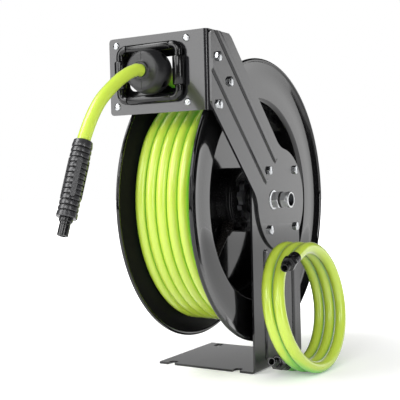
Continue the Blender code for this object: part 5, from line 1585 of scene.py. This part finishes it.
@dataclass
class Studio:
    """The camera, the lamps, the pale room and the floor."""

    eye: Point3 = (0.5924, -1.0508, 0.2744)
    right: Point3 = (0.8530, 0.5214, -0.0237)
    up: Point3 = (0.0031, 0.0404, 0.9992)
    ahead: Point3 = (-0.5219, 0.8524, -0.0328)
    lens: float = 75.48
    lamps: tuple[Panel, ...] = (
        Panel("rear_right_panel", (1.45, 2.73, 0.45), (1.2, 1.1), 6.6, aim_z=0.28),
        Panel("front_left_panel", (-1.62, -2.3, 1.25), (1.5, 2.1), 40.0, aim_z=0.3, roll=20.0),
        Panel("key_panel", (0.3, -2.6, 1.6), (1.3, 0.9), 18.0),
        Panel("right_strip", (2.1, -1.5, 0.8), (0.4, 1.4), 13.0),
        Panel("overhead_panel", (-1.15, -0.95, 2.2), (1.1, 1.1), 24.0),
    )

    def build(self) -> None:
        """Set the view and light it."""
        self.camera()
        self.light()
        self.world()
        self.floor()
        self.walls()
        self.sweep()

    def camera(self) -> None:
        """Stand the camera where the photograph was taken from."""
        data = bpy.data.cameras.new("camera")
        data.lens = self.lens
        data.sensor_width = 36.0
        data.sensor_fit = "HORIZONTAL"
        obj = linked("camera", data)
        axes = Matrix((self.right, self.up, [-a for a in self.ahead])).transposed()
        obj.matrix_world = at(*self.eye) @ axes.to_4x4()
        bpy.context.scene.camera = obj

    def light(self) -> None:
        """Hang the soft panels."""
        for lamp in self.lamps:
            data = bpy.data.lights.new(lamp.name, "AREA")
            data.shape = "RECTANGLE"
            data.size, data.size_y = lamp.size
            data.energy = lamp.power
            way = Vector((0.0, 0.0, lamp.aim_z)) - Vector(lamp.place)
            facing = way.to_track_quat("-Z", "Y").to_matrix().to_4x4()
            linked(lamp.name, data).matrix_world = at(*lamp.place) @ facing @ spun(math.radians(lamp.roll))

    @staticmethod
    def world() -> None:
        """A white room, a little dimmer as light than as background."""
        world = bpy.data.worlds.new("room")
        bpy.context.scene.world = world
        world.use_nodes = True
        tree = world.node_tree
        tree.nodes.clear()
        path = add(tree, "LightPath").outputs
        seen = add(tree, "Math", {0: path["Is Camera Ray"], 1: path["Is Glossy Ray"]}, operation="MAXIMUM")
        seen = add(tree, "Math", {0: seen.outputs[0], 1: path["Is Transmission Ray"]}, operation="MAXIMUM")
        soft, white = (add(tree, "Background", {"Color": linear("#FFFFFF"), "Strength": level})
                       for level in (0.75, 1.0))
        mixed = add(tree, "MixShader", {0: seen.outputs[0], 1: soft.outputs[0], 2: white.outputs[0]})
        add(tree, "OutputWorld", {"Surface": mixed.outputs[0]})

    @staticmethod
    def graded_glow(tree: bpy.types.NodeTree, value: bpy.types.NodeSocket,
                    span: Point2, levels: Point2) -> bpy.types.Node:
        """A white glow whose strength changes smoothly with a value.

        Args:
            tree: The material's node tree.
            value: The value.
            span: Where the change starts and ends.
            levels: Strength before and after it.

        Returns:
            The glow.
        """
        level = add(tree, "MapRange", {"Value": value, "From Min": span[0], "From Max": span[1],
                                       "To Min": levels[0], "To Max": levels[1]},
                    interpolation_type="SMOOTHSTEP")
        return add(tree, "Emission", {"Color": linear("#FFFFFF"), "Strength": level.outputs["Result"]})

    def floor(self) -> None:
        """Lay a pale floor that keeps the shadow and fades to white round it."""
        form = Form()
        bmesh.ops.create_grid(form.bm, x_segments=1, y_segments=1, size=6.0)
        floor = form.moved(at(z=-0.0002)).to_object("floor")
        mat, shader = start_material("white_paper", Base_Color=linear("#F4F4F4"), Roughness=0.9,
                                     Specular_IOR_Level=0.0)
        tree = mat.node_tree
        path = add(tree, "LightPath").outputs
        where = add(tree, "TexCoord").outputs["Object"]
        away = add(tree, "VectorMath", {0: where}, operation="LENGTH").outputs["Value"]
        glow = self.graded_glow(tree, away, (0.2, 0.7), (0.2, 1.0))
        both = add(tree, "AddShader", {0: shader.outputs[0], 1: glow.outputs[0]})
        mixed = add(tree, "MixShader", {0: path["Is Camera Ray"], 1: shader.outputs[0],
                                        2: both.outputs[0]})
        tree.links.new(mixed.outputs[0], tree.nodes["Material Output"].inputs["Surface"])
        floor.data.materials.append(mat)

    @staticmethod
    def screen(radius: float, degrees: range, low: float, height: float) -> Form:
        """A curved wall round the reel.

        Args:
            radius: How far off it stands.
            degrees: Its corners' angles from +X towards +Y.
            low: Where it starts.
            height: Its height.

        Returns:
            The wall.
        """
        form = Form()
        angles = [math.radians(a) for a in degrees]
        edges = form.wire(((radius * math.cos(a), radius * math.sin(a), low) for a in angles), closed=False)
        form.lift(bmesh.ops.extrude_edge_only(form.bm, edges=edges), height)
        return form

    def walls(self) -> None:
        """Dark walls and ceiling round the camera's side, which only reflections see."""
        form = self.screen(3.2, range(148, 461, 6), -0.1, 3.2)
        rim = [e for e in form.bm.edges if all(v.co.z > 3 for v in e.verts)]
        bmesh.ops.contextual_create(form.bm, geom=rim)
        bmesh.ops.reverse_faces(form.bm, faces=form.bm.faces[:])
        felt, _ = start_material("black_felt", Base_Color=linear("#161616"), Roughness=1.0,
                                 Specular_IOR_Level=0.0)
        self.reflected_only(form.to_object("dark_walls"), felt)

    def sweep(self) -> None:
        """The backdrop behind the reel as reflections see it: white low down, greyer higher up."""
        sweep = self.screen(3.1, range(98, 151, 4), 0.0, 3.0).to_object("graded_sweep")
        mat, shader = start_material("graded_paper")
        tree = mat.node_tree
        tree.nodes.remove(shader)
        where = add(tree, "TexCoord").outputs["Object"]
        height = add(tree, "SeparateXYZ", {0: where}).outputs["Z"]
        glow = self.graded_glow(tree, height, (0.25, 0.75), (1.0, 0.35))
        tree.links.new(glow.outputs[0], tree.nodes["Material Output"].inputs["Surface"])
        self.reflected_only(sweep, mat)

    @staticmethod
    def reflected_only(obj: bpy.types.Object, mat: bpy.types.Material) -> None:
        """Finish a stage object and leave it to reflections alone."""
        obj.data.materials.append(mat)
        for ray in ("camera", "diffuse", "transmission", "shadow"):
            setattr(obj, "visible_" + ray, False)


def main() -> None:
    """Build the reel's looks round its solids."""
    logging.basicConfig(level=logging.INFO, format="%(message)s")
    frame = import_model()
    bpy.context.scene.view_settings.view_transform = "Standard"
    bench = Bench(frame)
    drum = Drum(bench)
    Studio().build()
    parts = (LeadIn(bench), FreeEnd(bench, drum), drum, Hub(bench), SpringPack(bench), AxleEnd(bench),
             BallStop(bench), HoseGuide(bench), GuideArm(bench), Stand(bench), Fasteners(bench))
    for part in parts:
        part.build()
        LOG.info("built %s, %d pieces so far", type(part).__name__, bench.made)


if __name__ == "__main__":
    main()
